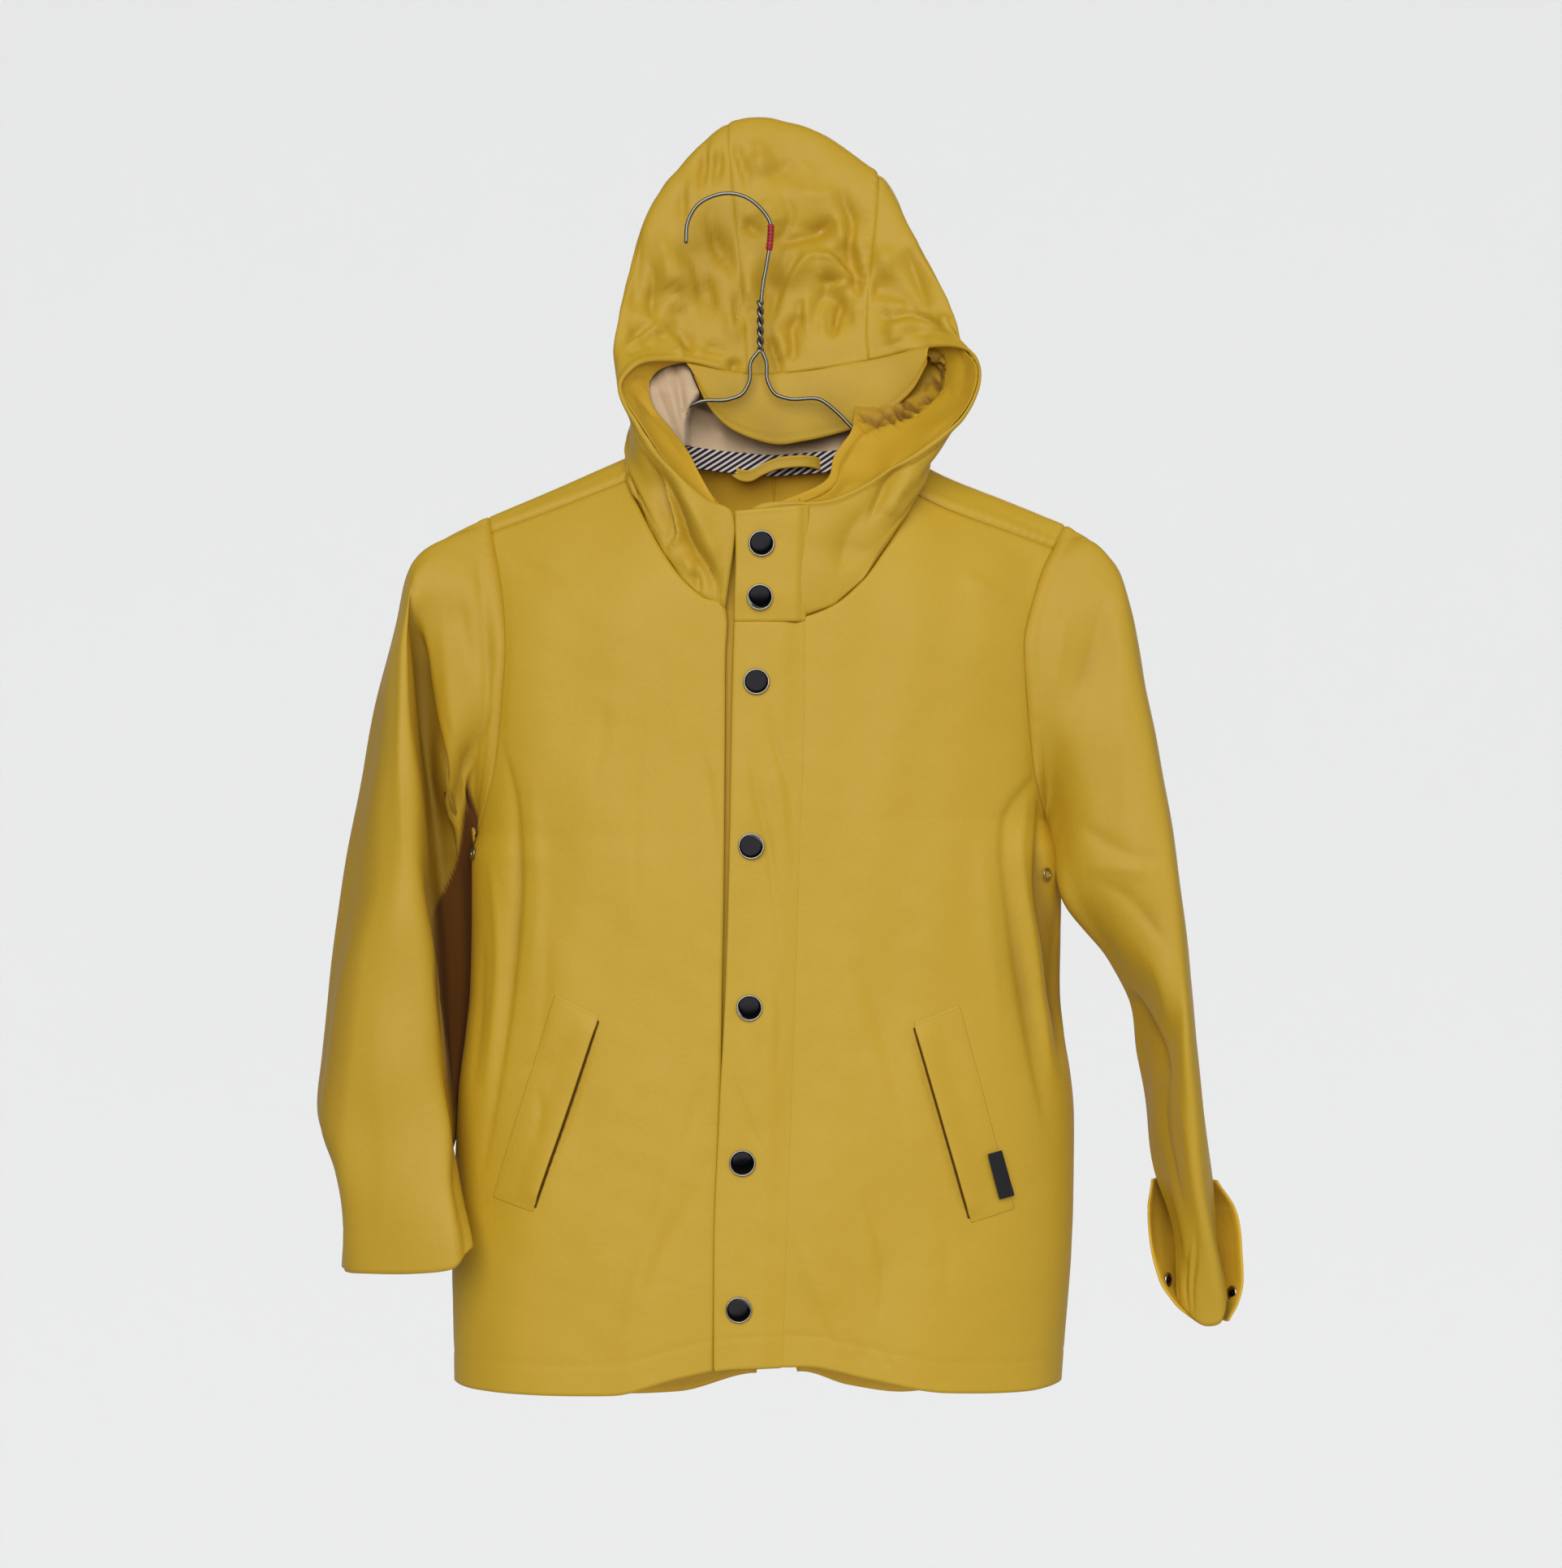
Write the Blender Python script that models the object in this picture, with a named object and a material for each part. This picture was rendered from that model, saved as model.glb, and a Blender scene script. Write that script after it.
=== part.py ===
"""A child's hooded rain windbreaker on a wire hanger.

The tables are in millimetres and the finished meshes in metres. +X is the wearer's left, +Z is up, and the
front faces -Y. The origin is the inner top of the hanger's hook, where a rail carries it. Right and left in
names are the wearer's. Every panel is a thin closed wall: its outer points, its inner points one wall
thickness behind them, and the cut edges between.
"""

import math

import bmesh
import bpy
import numpy as np

MM = 0.001
WALL = 1.2            # thickness of the coated cloth
SEAM = 0.25           # how far each panel stops short of a seam
LAYER = 0.9           # air between one cloth layer and the next one on it
LINING_SET_IN = 0.6   # more air where the lining turns with the hood
FORM_POWER = 3.2      # squareness of the body's plan
SHOULDER_POWER = 0.7  # how fast the body deepens below the shoulder ridge
CLOSE_FRONT = 110.0   # height over which the front deepens below the ridge
CLOSE_BACK = 70.0     # the same for the back
WIRE_R = 1.3
SNAP_R = 7.6
CUFF_SNAP_R = 4.6
EYELET_R = 3.2
SIDES = {"right": -1, "left": 1}


def table(columns, *rows):
    """A table of named columns, one row for each section."""
    names = columns.split()
    return [dict(zip(names, row)) for row in rows]


def column(rows, name):
    return np.array([float(row[name]) for row in rows])


# ---------------------------------------------------------------- the garment's sizes

# Plan of the body at each height: its two sides, and its depth to the front and to the back.
BODY = table(
    "z left right front back",
    (-130, -160.0, 214.0, 44, 42),
    (-200, -155.0, 209.0, 48, 45),
    (-255, -151.0, 196.0, 52, 49),
    (-315, -148.5, 189.5, 55, 52),
    (-372, -147.2, 187.5, 58, 55),
    (-415, -150.5, 193.0, 60, 57),
    (-465, -152.5, 196.5, 62, 60),
    (-545, -160.0, 204.5, 65, 64),
    (-620, -163.0, 202.5, 67, 67),
    (-700, -162.0, 197.0, 68, 70),
)

# The shoulder ridge, carried by the wire, with the neck bridged over.
RIDGE = table(
    "x z",
    (-190, -219), (-164, -200), (-144, -191), (-104, -174), (-63, -156), (-20, -138), (30, -130),
    (80, -142), (131, -167), (164, -180), (186, -189), (200, -195), (213, -204), (230, -218),
)

# Hem heights across the front and the back.
HEM_FRONT = table(
    "x z",
    (-163, -695), (-150, -699), (-117, -701), (-67, -700), (-28, -690), (5, -684), (44, -683),
    (84, -691), (127, -699), (175, -700), (198, -694),
)
HEM_BACK = table(
    "x z",
    (-163, -695), (-120, -706), (-58, -718), (-31, -717), (14, -706), (44, -705), (72, -713),
    (102, -717), (150, -708), (198, -694),
)

# Armholes from the underarm to the ridge, the same for the front and the back.
ARMHOLE = {
    "right": table(
        "x z",
        (-147.3, -378), (-142, -358), (-137, -336), (-132.5, -297), (-131, -265), (-133.5, -235),
        (-139, -206), (-142, -190.1),
    ),
    "left": table(
        "x z",
        (187.4, -368), (181.5, -346), (177.5, -317), (175, -287), (174.5, -262), (180, -240),
        (186, -222), (192, -210), (199.5, -194.8),
    ),
}
# Where along the armhole the shoulder seam ends, as a part of its length from the underarm.
SEAM_STOP = {"right": 0.95, "left": 0.91}
FRONT_STOPS = (0.0, 0.12, 0.24, 0.36, 0.46, 0.54, 0.62, 0.72, 0.80, 0.88, 0.95)
BACK_STOPS = (0.0, 0.12, 0.24, 0.36, 0.46, 0.54, 0.62, 0.68, 0.74, 0.80, 0.86, 0.91, 0.96, 1.0)

# Front edges from the hem to the underarm level, then up to the foot of the neckline.
FRONT_EDGE = {
    "right": table("z x", (-700, -8), (-620, -6), (-545, -4), (-465, -3), (-410, -2), (-240, -1)),
    "left": table("z x", (-700, 7), (-620, 8), (-545, 9), (-240, 9)),
}
FRONT_LEVELS = (-695, -655, -600, -545, -490, -440, -408)
CHEST_LEVELS = {"right": (-378, -340, -306, -275), "left": (-368, -338, -308, -280)}

# Front necklines from the front edge to the shoulder seam.
NECK_FRONT = {
    "right": table(
        "x z", (-1, -246), (-14, -239.5), (-26, -229), (-37, -214), (-46, -198), (-54, -182), (-60, -169)
    ),
    "left": table(
        "x z", (9, -253), (38, -252.5), (62, -244), (79, -229), (92, -211), (102, -192), (108, -176)
    ),
}
# Back necklines from the centre back over the ridge to the shoulder seam: drop is below the ridge,
# negative once over on the front.
NECK_BACK = {
    "right": table(
        "x drop", (27, 23), (18, 22), (7, 19.5), (-6, 16), (-19, 11.5), (-31, 7.4), (-41, 3.8),
        (-50, 0), (-56, -5), (-60, -14),
    ),
    "left": table(
        "x drop", (27, 23), (37, 22), (48, 19.5), (60, 15.5), (72, 11), (84, 7), (94, 3.6),
        (103, 0), (107, -7), (108, -20),
    ),
}
# The centre back line, with the vent that opens below its seam.
BACK_EDGE = {
    "right": table("z x", (-720, 13), (-690, 17), (-650, 24), (-605, 26.8), (-590, 27), (-150, 27)),
    "left": table("z x", (-720, 46), (-690, 40), (-650, 31), (-605, 27.2), (-590, 27), (-150, 27)),
}
BACK_LEVELS = (-695, -650, -605, -560, -510, -460, -415)
SHOULDER_BLADE_LEVELS = (-372, -335, -300, -262, -225, -188)

# Rings of the sleeves from just outside the armhole to the cuff. out is the upper outline, edge the front
# fold, valley the groove beside it, mid the inner front, in the underside, ridge the swell next to out.
SLEEVE_COLUMNS = (
    "out_x out_z ridge_y edge_x edge_y edge_z valley_x valley_y valley_z "
    "mid_x mid_y mid_z in_x in_y in_z back_y"
)
SLEEVE = {
    "right": table(
        SLEEVE_COLUMNS,
        (-166, -201, -12, -160, -22, -232, -158, -23, -252, -149, -27, -305, -149.5, 0, -381, 24),
        (-187, -218, -14, -181, -25, -240, -176, -19, -262, -160, -25, -322, -151, 0, -385, 27),
        (-197, -254, -20, -184, -32, -264, -178, -14, -282, -165, -20, -340, -153, 3, -390, 30),
        (-208, -300, -24, -183, -37, -306, -177, -10, -320, -165, -13, -362, -155.5, 6, -398, 33),
        (-218, -348, -28, -179.5, -40, -350, -174, -10, -360, -163, -4, -386, -156, 10, -410, 36),
        (-227, -400, -30, -175, -42, -397, -169, -12, -402, -161, 2, -414, -156.5, 14, -424, 38),
        (-235, -458, -32, -171, -44, -456, -165.5, -14, -458, -160, 4, -460, -158, 16, -462, 40),
        (-240, -508, -32, -166, -46, -506, -162.8, -16, -507, -162, 2, -508, -162, 16, -509, 40),
        (-242, -546, -32, -161.5, -50, -546, -161.8, -24, -546, -163.6, -8, -547, -165, 10, -547, 36),
        (-231, -574, -36, -157, -55, -576, -158.5, -38, -577, -163.5, -24, -577, -168, -6, -577, 24),
        (-228, -600, -38, -152.5, -60, -597, -153, -48, -598, -158, -40, -598, -164, -28, -598, 12),
        (-228.5, -630, -38, -146, -64, -615, -147, -56, -616, -153, -50, -617, -159, -40, -618, 4),
    ),
    "left": table(
        SLEEVE_COLUMNS,
        (214, -205, -12, 209, -22, -238, 206, -25, -252, 193, -28, -312, 189.5, 0, -373, 24),
        (230.5, -221, -15, 225, -25, -252, 221, -27, -270, 204, -30, -330, 191.5, 0, -383, 28),
        (238, -246, -18, 233, -28, -276, 228, -31, -296, 209, -31, -350, 193, 0, -395, 31),
        (247, -292, -22, 241, -32, -318, 234, -35, -336, 213, -32, -376, 195.5, 0, -409, 34),
        (255, -336, -26, 248, -36, -358, 240, -39, -374, 217, -31, -402, 200, 0, -421, 36),
        (262, -374, -28, 255, -39, -392, 247, -41, -404, 225, -31, -424, 208, 0, -436, 38),
        (268, -418, -30, 261, -41, -430, 253, -42, -438, 235, -31, -449, 221, 0, -456, 39),
        (273, -460, -31, 266, -42, -468, 260, -41, -472, 247, -26, -478, 236, 4, -482, 40),
        (277, -502, -32, 264, -40, -504, 257.5, -26, -505, 249, -8, -507, 242, 12, -509, 42),
        (281, -540, -30, 262.5, -36, -541, 257.5, -22, -542, 252, -6, -543, 248.5, 12, -544, 42),
        (286, -580, -28, 268, -34, -580, 263.5, -24, -581, 257.5, -8, -582, 254, 10, -582, 36),
        (290, -612, -24, 276, -32, -612, 270, -26, -613, 264, -12, -614, 261.5, 4, -614, 26),
        (294, -648, -16, 287, -22, -655, 279, -22, -656, 270, -12, -652, 266, 0, -648, 14),
    ),
}

# The turned-up cuff of the left sleeve, a trough open to the front: its two free ends and its back.
TURN_UP = table(
    "z right_x right_y back_y left_x left_y",
    (-583, 250.5, 12, 44, 290.5, 10),
    (-600, 247.5, -4, 44, 300, -4),
    (-620, 248.5, -10, 41, 303, -10),
    (-640, 253, -14, 34, 302.5, -12),
    (-652, 261, -14, 27, 300, -12),
    (-663, 277, -10, 15, 296, -10),
)

# Hoops of the hood at stations from the right front edge over the top to the left front edge: the face
# edge, a hoop over the brow, the crown's outline and a hoop round the back of the head.
HOOD = table(
    "rim_x rim_y rim_z brow_x brow_y brow_z crown_x crown_y crown_z back_x back_y back_z",
    (4, -53, -195, -18, -50, -220, -45, -38, -194, -59, -19, -164),
    (-12, -50, -183, -30, -47, -196, -56, -26, -170, -60, 6, -144),
    (-30, -45, -166, -44, -40, -168, -60, -12, -148, -57, 32, -124),
    (-51, -36, -140, -58, -26, -140, -62, 0, -122, -55, 46, -104),
    (-64, -24, -116, -67, -12, -112, -67, 12, -92, -50, 58, -80),
    (-50, -12, -99, -62, 0, -86, -62, 24, -46, -39, 70, -48),
    (-24, 3, -98, -34, 9, -80, -40, 33, 3, -19, 79, -22),
    (11, 8, -104.5, 10, 13, -78, 0, 40, 47, 8, 85, -7),
    (48, 9, -102, 48, 13, -78, 45, 43, 48, 44, 88, -3),
    (83, 8, -96, 82, 13, -72, 89, 37, 16, 80, 83, -15),
    (118, 1, -89.5, 112, 9, -64, 112, 29, -22, 98, 73, -40),
    (140, -14, -93, 132, 2, -76, 127, 20, -52, 108, 60, -66),
    (149, -26, -108, 143, -12, -104, 134, 10, -84, 114, 46, -92),
    (137, -36, -135, 137, -24, -136, 132, -2, -118, 118, 32, -114),
    (104, -44, -160, 120, -36, -164, 126, -14, -146, 120, 18, -134),
    (60, -50, -183, 92, -45, -190, 117, -26, -168, 117, 4, -150),
    (12, -52, -191, 56, -52, -224, 103, -38, -192, 113, -21, -170),
)
HOOD_HOOPS = (0, 3, 7, 10, 12)
HOOD_ROWS = 13
SEAM_STATIONS = (8, 10)

BRIM = table(
    "station edge_x edge_y edge_z",
    (7.0, -20, 6, -108), (7.3, -13, 7, -122), (7.7, 0, 8, -136), (8.2, 24, 8, -145.5),
    (8.8, 45, 8, -144), (9.3, 63, 8, -140), (9.9, 84, 7, -133), (10.4, 100, 5, -123),
    (10.8, 112, 3, -110), (11.0, 117, 2, -99),
)

PLACKET = table(
    "z from_x to_x", (-254.5, 4.5, 45), (-315, 3, 44.5), (-382, 2, 42), (-460, 0, 39.5),
    (-540, -4, 37), (-620, -7, 34), (-682, -7, 32),
)
COLLAR_FLAP = table("z from_x to_x", (-191, 5, 43.5), (-215, 5.5, 41), (-240, 4.8, 38.5), (-252.5, 4.5, 37.5))
UNDERLAP = table("z from_x to_x", (-250, -9, 31), (-350, -9, 31), (-460, -10, 29), (-560, -12, 27), (-680, -15, 23))
SNAPS = table("x z", (20, -209), (19, -240), (17, -289), (14, -384), (13, -477), (9, -566), (7, -650))
# Pocket welts: the top corners and the bottom corners, slit side first.
WELT = {
    "right": table("slit_x slit_z back_x back_z", (-74, -482, -99, -470), (-112, -595, -137, -588)),
    "left": table("slit_x slit_z back_x back_z", (108, -486, 134, -476), (141, -601, 166, -594)),
}
# Wire of the hanger, in its plane.
HOOK = table(
    "x z", (-25, -28), (-24, -16), (-18, -5.5), (-8, 0), (0, 1.3), (10, -0.8), (19, -7.5), (25, -17),
    (25, -24), (23, -39), (20.5, -53), (19.3, -64),
)
ARM_RIGHT = table(
    "x z", (18.0, -92), (13.6, -98), (12.4, -110), (8, -117.5), (1, -120.4), (-17, -122), (-27, -127),
    (-38, -142), (-49, -156), (-63, -162.5), (-104, -179.5), (-144, -196.5), (-161, -205.5),
    (-171, -213.5), (-174.5, -219.5), (-171, -224.5), (-162, -226),
)
ARM_LEFT = table(
    "x z", (20.0, -92), (22.4, -98), (23.4, -110), (28, -117.5), (35, -120), (55, -121), (63, -127),
    (76, -140), (104, -161.5), (131, -172.5), (164, -185.5), (186, -194.5), (199, -202), (211, -212),
    (216, -218.5), (213, -224.5), (203, -226),
)
TWIST_TOP = -66.0
TWIST_BOTTOM = -91.0
TWIST_TURNS = 2.5
TWIST_X = 19.0


# ---------------------------------------------------------------- curves

def slopes(keys, values):
    """Tangents that keep a table's rises and falls, so a curve never overshoots its rows."""
    span = np.diff(keys)
    rise = np.diff(values) / span
    out = np.zeros(len(values))
    out[0], out[-1] = rise[0], rise[-1]
    same = rise[:-1] * rise[1:] > 0
    weight_a = 2 * span[1:] + span[:-1]
    weight_b = span[1:] + 2 * span[:-1]
    with np.errstate(divide="ignore", invalid="ignore"):
        mean = (weight_a + weight_b) / (weight_a / rise[:-1] + weight_b / rise[1:])
    out[1:-1][same] = mean[same]
    return out


def ease(keys, values, at):
    """Smooth value of a table at any key."""
    keys = np.asarray(keys, float)
    values = np.asarray(values, float)
    if keys[0] > keys[-1]:
        keys, values = keys[::-1], values[::-1]
    at = np.clip(np.asarray(at, float), keys[0], keys[-1])
    tangent = slopes(keys, values)
    i = np.clip(np.searchsorted(keys, at, side="right") - 1, 0, len(keys) - 2)
    width = keys[i + 1] - keys[i]
    t = (at - keys[i]) / width
    return (
        values[i] * (1 + 2 * t) * (1 - t) ** 2
        + values[i + 1] * t * t * (3 - 2 * t)
        + tangent[i] * width * t * (1 - t) ** 2
        - tangent[i + 1] * width * t * t * (1 - t)
    )


def lookup(rows, key, name, at):
    return ease(column(rows, key), column(rows, name), at)


def cubic(keys, points, at):
    """Smooth curve through points (n, 3) given at keys, read at one key or several."""
    keys = np.asarray(keys, float)
    points = np.asarray(points, float)
    at = np.atleast_1d(np.asarray(at, float))
    tangent = np.gradient(points, keys, axis=0)
    i = np.clip(np.searchsorted(keys, at, side="right") - 1, 0, len(keys) - 2)
    width = (keys[i + 1] - keys[i])[:, None]
    t = ((at - keys[i])[:, None]) / width
    return (
        points[i] * (1 + 2 * t) * (1 - t) ** 2
        + points[i + 1] * t * t * (3 - 2 * t)
        + tangent[i] * width * t * (1 - t) ** 2
        - tangent[i + 1] * width * t * t * (1 - t)
    )


def along(points, share):
    """Point of a smooth path at a share of its length."""
    points = np.asarray(points, float)
    length = np.concatenate([[0.0], np.cumsum(np.linalg.norm(np.diff(points, axis=0), axis=1))])
    return cubic(length, points, np.asarray(share) * length[-1])


def unit(vectors):
    size = np.linalg.norm(vectors, axis=-1, keepdims=True)
    return vectors / np.maximum(size, 1e-9)


# ---------------------------------------------------------------- the body's form

def ridge_height(x):
    return lookup(RIDGE, "x", "z", x)


def body_depth(x, z, back):
    """Distance of the front or the back from the plane of the hanger."""
    x = np.asarray(x, float)
    z = np.asarray(z, float)
    left = lookup(BODY, "z", "left", z)
    right = lookup(BODY, "z", "right", z)
    depth = np.where(back, lookup(BODY, "z", "back", z), lookup(BODY, "z", "front", z))
    across = np.clip(np.abs(x - (left + right) / 2) / ((right - left) / 2), 0, 1)
    plan = np.sqrt(1 - across ** FORM_POWER)
    close = np.where(back, CLOSE_BACK, CLOSE_FRONT)
    fall = np.clip((ridge_height(x) - z) / close, 0, 1)
    return depth * plan * np.sin(fall * math.pi / 2) ** SHOULDER_POWER


def body_point(x, z, back):
    x, z, back = np.broadcast_arrays(np.asarray(x, float), np.asarray(z, float), np.asarray(back, bool))
    y = body_depth(x, z, back) * np.where(back, 1, -1)
    return np.stack([x, y, z], axis=-1)


def body_normal(points, back):
    """Outward direction of the body's form, steady across the ridge and the sides."""
    x, y, z = points[..., 0], points[..., 1], points[..., 2]
    step = 0.4
    square = lambda px, pz: body_depth(px, pz, back) ** 2
    gradient = np.stack([
        -(square(x + step, z) - square(x - step, z)) / (2 * step),
        2 * y,
        -(square(x, z + step) - square(x, z - step)) / (2 * step),
    ], axis=-1)
    return unit(gradient + np.array([0, 0, 1e-3]))


def row_between(inner, outer, shares, back):
    """A row of points on the body between two (x, drop) ends; drop below 0 lies beyond the ridge."""
    x = inner[0] + (outer[0] - inner[0]) * shares
    drop = inner[1] + (outer[1] - inner[1]) * shares
    z_inner = ridge_height(inner[0]) - abs(inner[1])
    z_outer = ridge_height(outer[0]) - abs(outer[1])
    straight = z_inner + (z_outer - z_inner) * shares
    follow = np.clip((70 - np.abs(drop)) / 45, 0, 1)
    z = straight * (1 - follow) + (ridge_height(x) - np.abs(drop)) * follow
    own_side = drop >= 0
    facing_back = own_side if back else ~own_side
    points = body_point(x, z, facing_back)
    return points, body_normal(points, facing_back)


def armhole_end(side, stop, beyond=False):
    """(x, drop) of the armhole at a stop, on the own side or beyond the ridge."""
    x, z = along([(r["x"], r["z"]) for r in ARMHOLE[side]], stop)[0]
    drop = float(ridge_height(x)) - z
    return x, -drop if beyond else drop


def front_stops(side):
    return [stop * SEAM_STOP[side] / SEAM_STOP["right"] for stop in FRONT_STOPS]


def beyond_stops(side):
    """The two stops between the ridge and the shoulder seam."""
    return ((1 + SEAM_STOP[side]) / 2 + 0.005, SEAM_STOP[side])


PANEL_SHARES = 1 - (1 - np.linspace(0, 1, 9)) ** 1.7


def lower_rows(side, back, levels, edges, hem):
    """Rows from the hem to just under the armhole, level but for the hem's own shape."""
    outer_name = "left" if side == "right" else "right"
    points = []
    top = -400.0
    for level in levels:
        inner = float(lookup(edges, "z", "x", level))
        outer = float(lookup(BODY, "z", outer_name, level))
        x = inner + (outer - inner) * PANEL_SHARES
        bend = ((top - level) / (top - levels[0])) ** 3
        z = level + (lookup(hem, "x", "z", x) - levels[0]) * bend
        row = body_point(x, z, back)
        row[-1, 0] = lookup(BODY, "z", outer_name, z[-1])
        row[-1, 1] = 0.0
        points.append(row)
    points = np.array(points)
    return points, body_normal(points, np.full(points.shape[:2], back))


def front_grid(side):
    points, normals = lower_rows(side, False, FRONT_LEVELS, FRONT_EDGE[side], HEM_FRONT)
    ends = [(float(lookup(FRONT_EDGE[side], "z", "x", z)), z) for z in CHEST_LEVELS[side]]
    ends += [(r["x"], r["z"]) for r in NECK_FRONT[side]]
    for (x, z), stop in zip(ends, front_stops(side)):
        inner = (x, float(ridge_height(x)) - z)
        row, normal = row_between(inner, armhole_end(side, stop), PANEL_SHARES, False)
        points = np.concatenate([points, row[None]])
        normals = np.concatenate([normals, normal[None]])
    return points, normals


def back_grid(side):
    points, normals = lower_rows(side, True, BACK_LEVELS, BACK_EDGE[side], HEM_BACK)
    ends = [(27.0, float(ridge_height(27.0)) - z) for z in SHOULDER_BLADE_LEVELS]
    ends += [(r["x"], r["drop"]) for r in NECK_BACK[side]]
    arms = [armhole_end(side, stop) for stop in BACK_STOPS]
    arms += [armhole_end(side, stop, True) for stop in beyond_stops(side)]
    for inner, outer in zip(ends, arms):
        row, normal = row_between(inner, outer, PANEL_SHARES, True)
        points = np.concatenate([points, row[None]])
        normals = np.concatenate([normals, normal[None]])
    return points, normals


# ---------------------------------------------------------------- sleeves

def armhole_ring(side):
    """The armhole as a ring: from the ridge down the front, under the arm and up the back."""
    front = [armhole_end(side, s) for s in front_stops(side)]
    front += [armhole_end(side, s) for s in reversed(beyond_stops(side)[:1])] + [armhole_end(side, 1.0)]
    back = [armhole_end(side, s) for s in BACK_STOPS]
    ends = [(x, drop, False) for x, drop in reversed(front)] + [(x, drop, True) for x, drop in back[1:-1]]
    x = np.array([e[0] for e in ends])
    z = ridge_height(x) - np.array([e[1] for e in ends])
    facing = np.array([e[2] for e in ends])
    points = body_point(x, z, facing)
    points[12, 1] = 0.0
    return points, body_normal(points, facing)


def sleeve_ring(row):
    """A ring of 25 points through the stations of one row."""
    out = np.array([row["out_x"], 0.0, row["out_z"]])
    edge = np.array([row["edge_x"], row["edge_y"], row["edge_z"]])
    valley = np.array([row["valley_x"], row["valley_y"], row["valley_z"]])
    mid = np.array([row["mid_x"], row["mid_y"], row["mid_z"]])
    under = np.array([row["in_x"], row["in_y"], row["in_z"]])
    swell = out + (edge - out) * np.array([0.32, 0, 0.14])
    swell[1] = row["ridge_y"]
    near = under + (out - under) * 0.36
    near[1] = row["back_y"]
    far = under + (out - under) * 0.72
    far[1] = row["back_y"] * 0.86
    front = cubic([0, 3, 5, 6, 9, 12], [out, swell, edge, valley, mid, under], np.arange(0, 13))
    back = cubic([12, 17, 21, 25], [under, near, far, out], np.arange(13, 25))
    ring = np.concatenate([front, back])
    ring[0] = out
    return ring


def sleeve_grid(side):
    first, normals_first = armhole_ring(side)
    rings = np.array([first] + [sleeve_ring(row) for row in SLEEVE[side]])
    normals = grid_normals(rings, closed=True)
    normals[0] = normals_first
    return rings, normals


# ---------------------------------------------------------------- hood

def neck_front_points(side):
    rows = NECK_FRONT[side]
    return body_point([r["x"] for r in rows], [r["z"] for r in rows], False)


def neck_back_points(side):
    x = column(NECK_BACK[side], "x")
    drop = column(NECK_BACK[side], "drop")
    return body_point(x, ridge_height(x) - np.abs(drop), drop >= 0)


def hood_keys():
    """The five key hoops, each with its 19 stations."""
    hoops = []
    for name in ("rim", "brow", "crown", "back"):
        inner = np.stack([column(HOOD, name + axis) for axis in ("_x", "_y", "_z")], axis=-1)
        hoops.append(inner)
    nape = np.concatenate([neck_back_points("right")[::-1], neck_back_points("left")[1:]])
    hoops.append(nape[1:-1])
    return np.array(hoops)


def hood_columns(v):
    """The 19 stations of the hoop at row v, its two ends on the front necklines."""
    middle = cubic(HOOD_HOOPS, hood_keys().reshape(5, -1), v)[0].reshape(-1, 3)
    share = v / 2
    i = min(int(share), 5)
    ends = []
    for side in ("right", "left"):
        neck = neck_front_points(side)
        ends.append(neck[i] + (neck[i + 1] - neck[i]) * (share - i))
    return np.concatenate([ends[0][None], middle, ends[1][None]])


def hood_grid(stations, rows):
    grid = []
    for v in rows:
        points = hood_columns(v)
        if v == HOOD_HOOPS[-1]:
            low = np.floor(stations).astype(int).clip(0, 17)
            share = (stations - low)[:, None]
            grid.append(points[low] * (1 - share) + points[low + 1] * share)
        else:
            grid.append(cubic(np.arange(19), points, stations))
    return np.array(grid)


# ---------------------------------------------------------------- meshes

def grid_normals(grid, closed=False):
    """Directions across a grid of points, chosen to point out of the garment."""
    down = np.gradient(grid, axis=0)
    if closed:
        across = (np.roll(grid, -1, axis=1) - np.roll(grid, 1, axis=1)) / 2
    else:
        across = np.gradient(grid, axis=1)
    normals = unit(np.cross(down, across))
    middle = grid.mean(axis=1, keepdims=True)
    if np.sum(normals * (grid - middle)) < 0:
        normals = -normals
    return normals


def trimmed(grid, first_row=0.0, last_row=0.0, first_column=0.0, last_column=0.0):
    """The same grid with its edges drawn in along the cloth."""
    out = grid.copy()
    for axis, index, near, amount in (
        (0, 0, 1, first_row), (0, -1, -2, last_row), (1, 0, 1, first_column), (1, -1, -2, last_column),
    ):
        if amount:
            edge = np.take(out, index, axis=axis)
            beside = np.take(out, near, axis=axis)
            moved = edge + unit(beside - edge) * amount
            if axis == 0:
                out[index] = moved
            else:
                out[:, index] = moved
    return out


def add_object(name, vertices, faces, colour, roughness=0.5, metallic=0.0):
    mesh = bpy.data.meshes.new(name)
    mesh.from_pydata([tuple(float(c) * MM for c in v) for v in vertices], [], faces)
    shell = bmesh.new()
    shell.from_mesh(mesh)
    bmesh.ops.recalc_face_normals(shell, faces=shell.faces)
    shell.to_mesh(mesh)
    shell.free()
    mesh.shade_smooth()
    mesh.set_sharp_from_angle(angle=math.radians(40))
    material = bpy.data.materials.get(colour[0]) or bpy.data.materials.new(colour[0])
    material.use_nodes = True
    shader = material.node_tree.nodes["Principled BSDF"]
    shader.inputs["Base Color"].default_value = (*colour[1:], 1.0)
    shader.inputs["Roughness"].default_value = roughness
    shader.inputs["Metallic"].default_value = metallic
    mesh.materials.append(material)
    piece = bpy.data.objects.new(name, mesh)
    bpy.context.scene.collection.objects.link(piece)
    return piece


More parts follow.
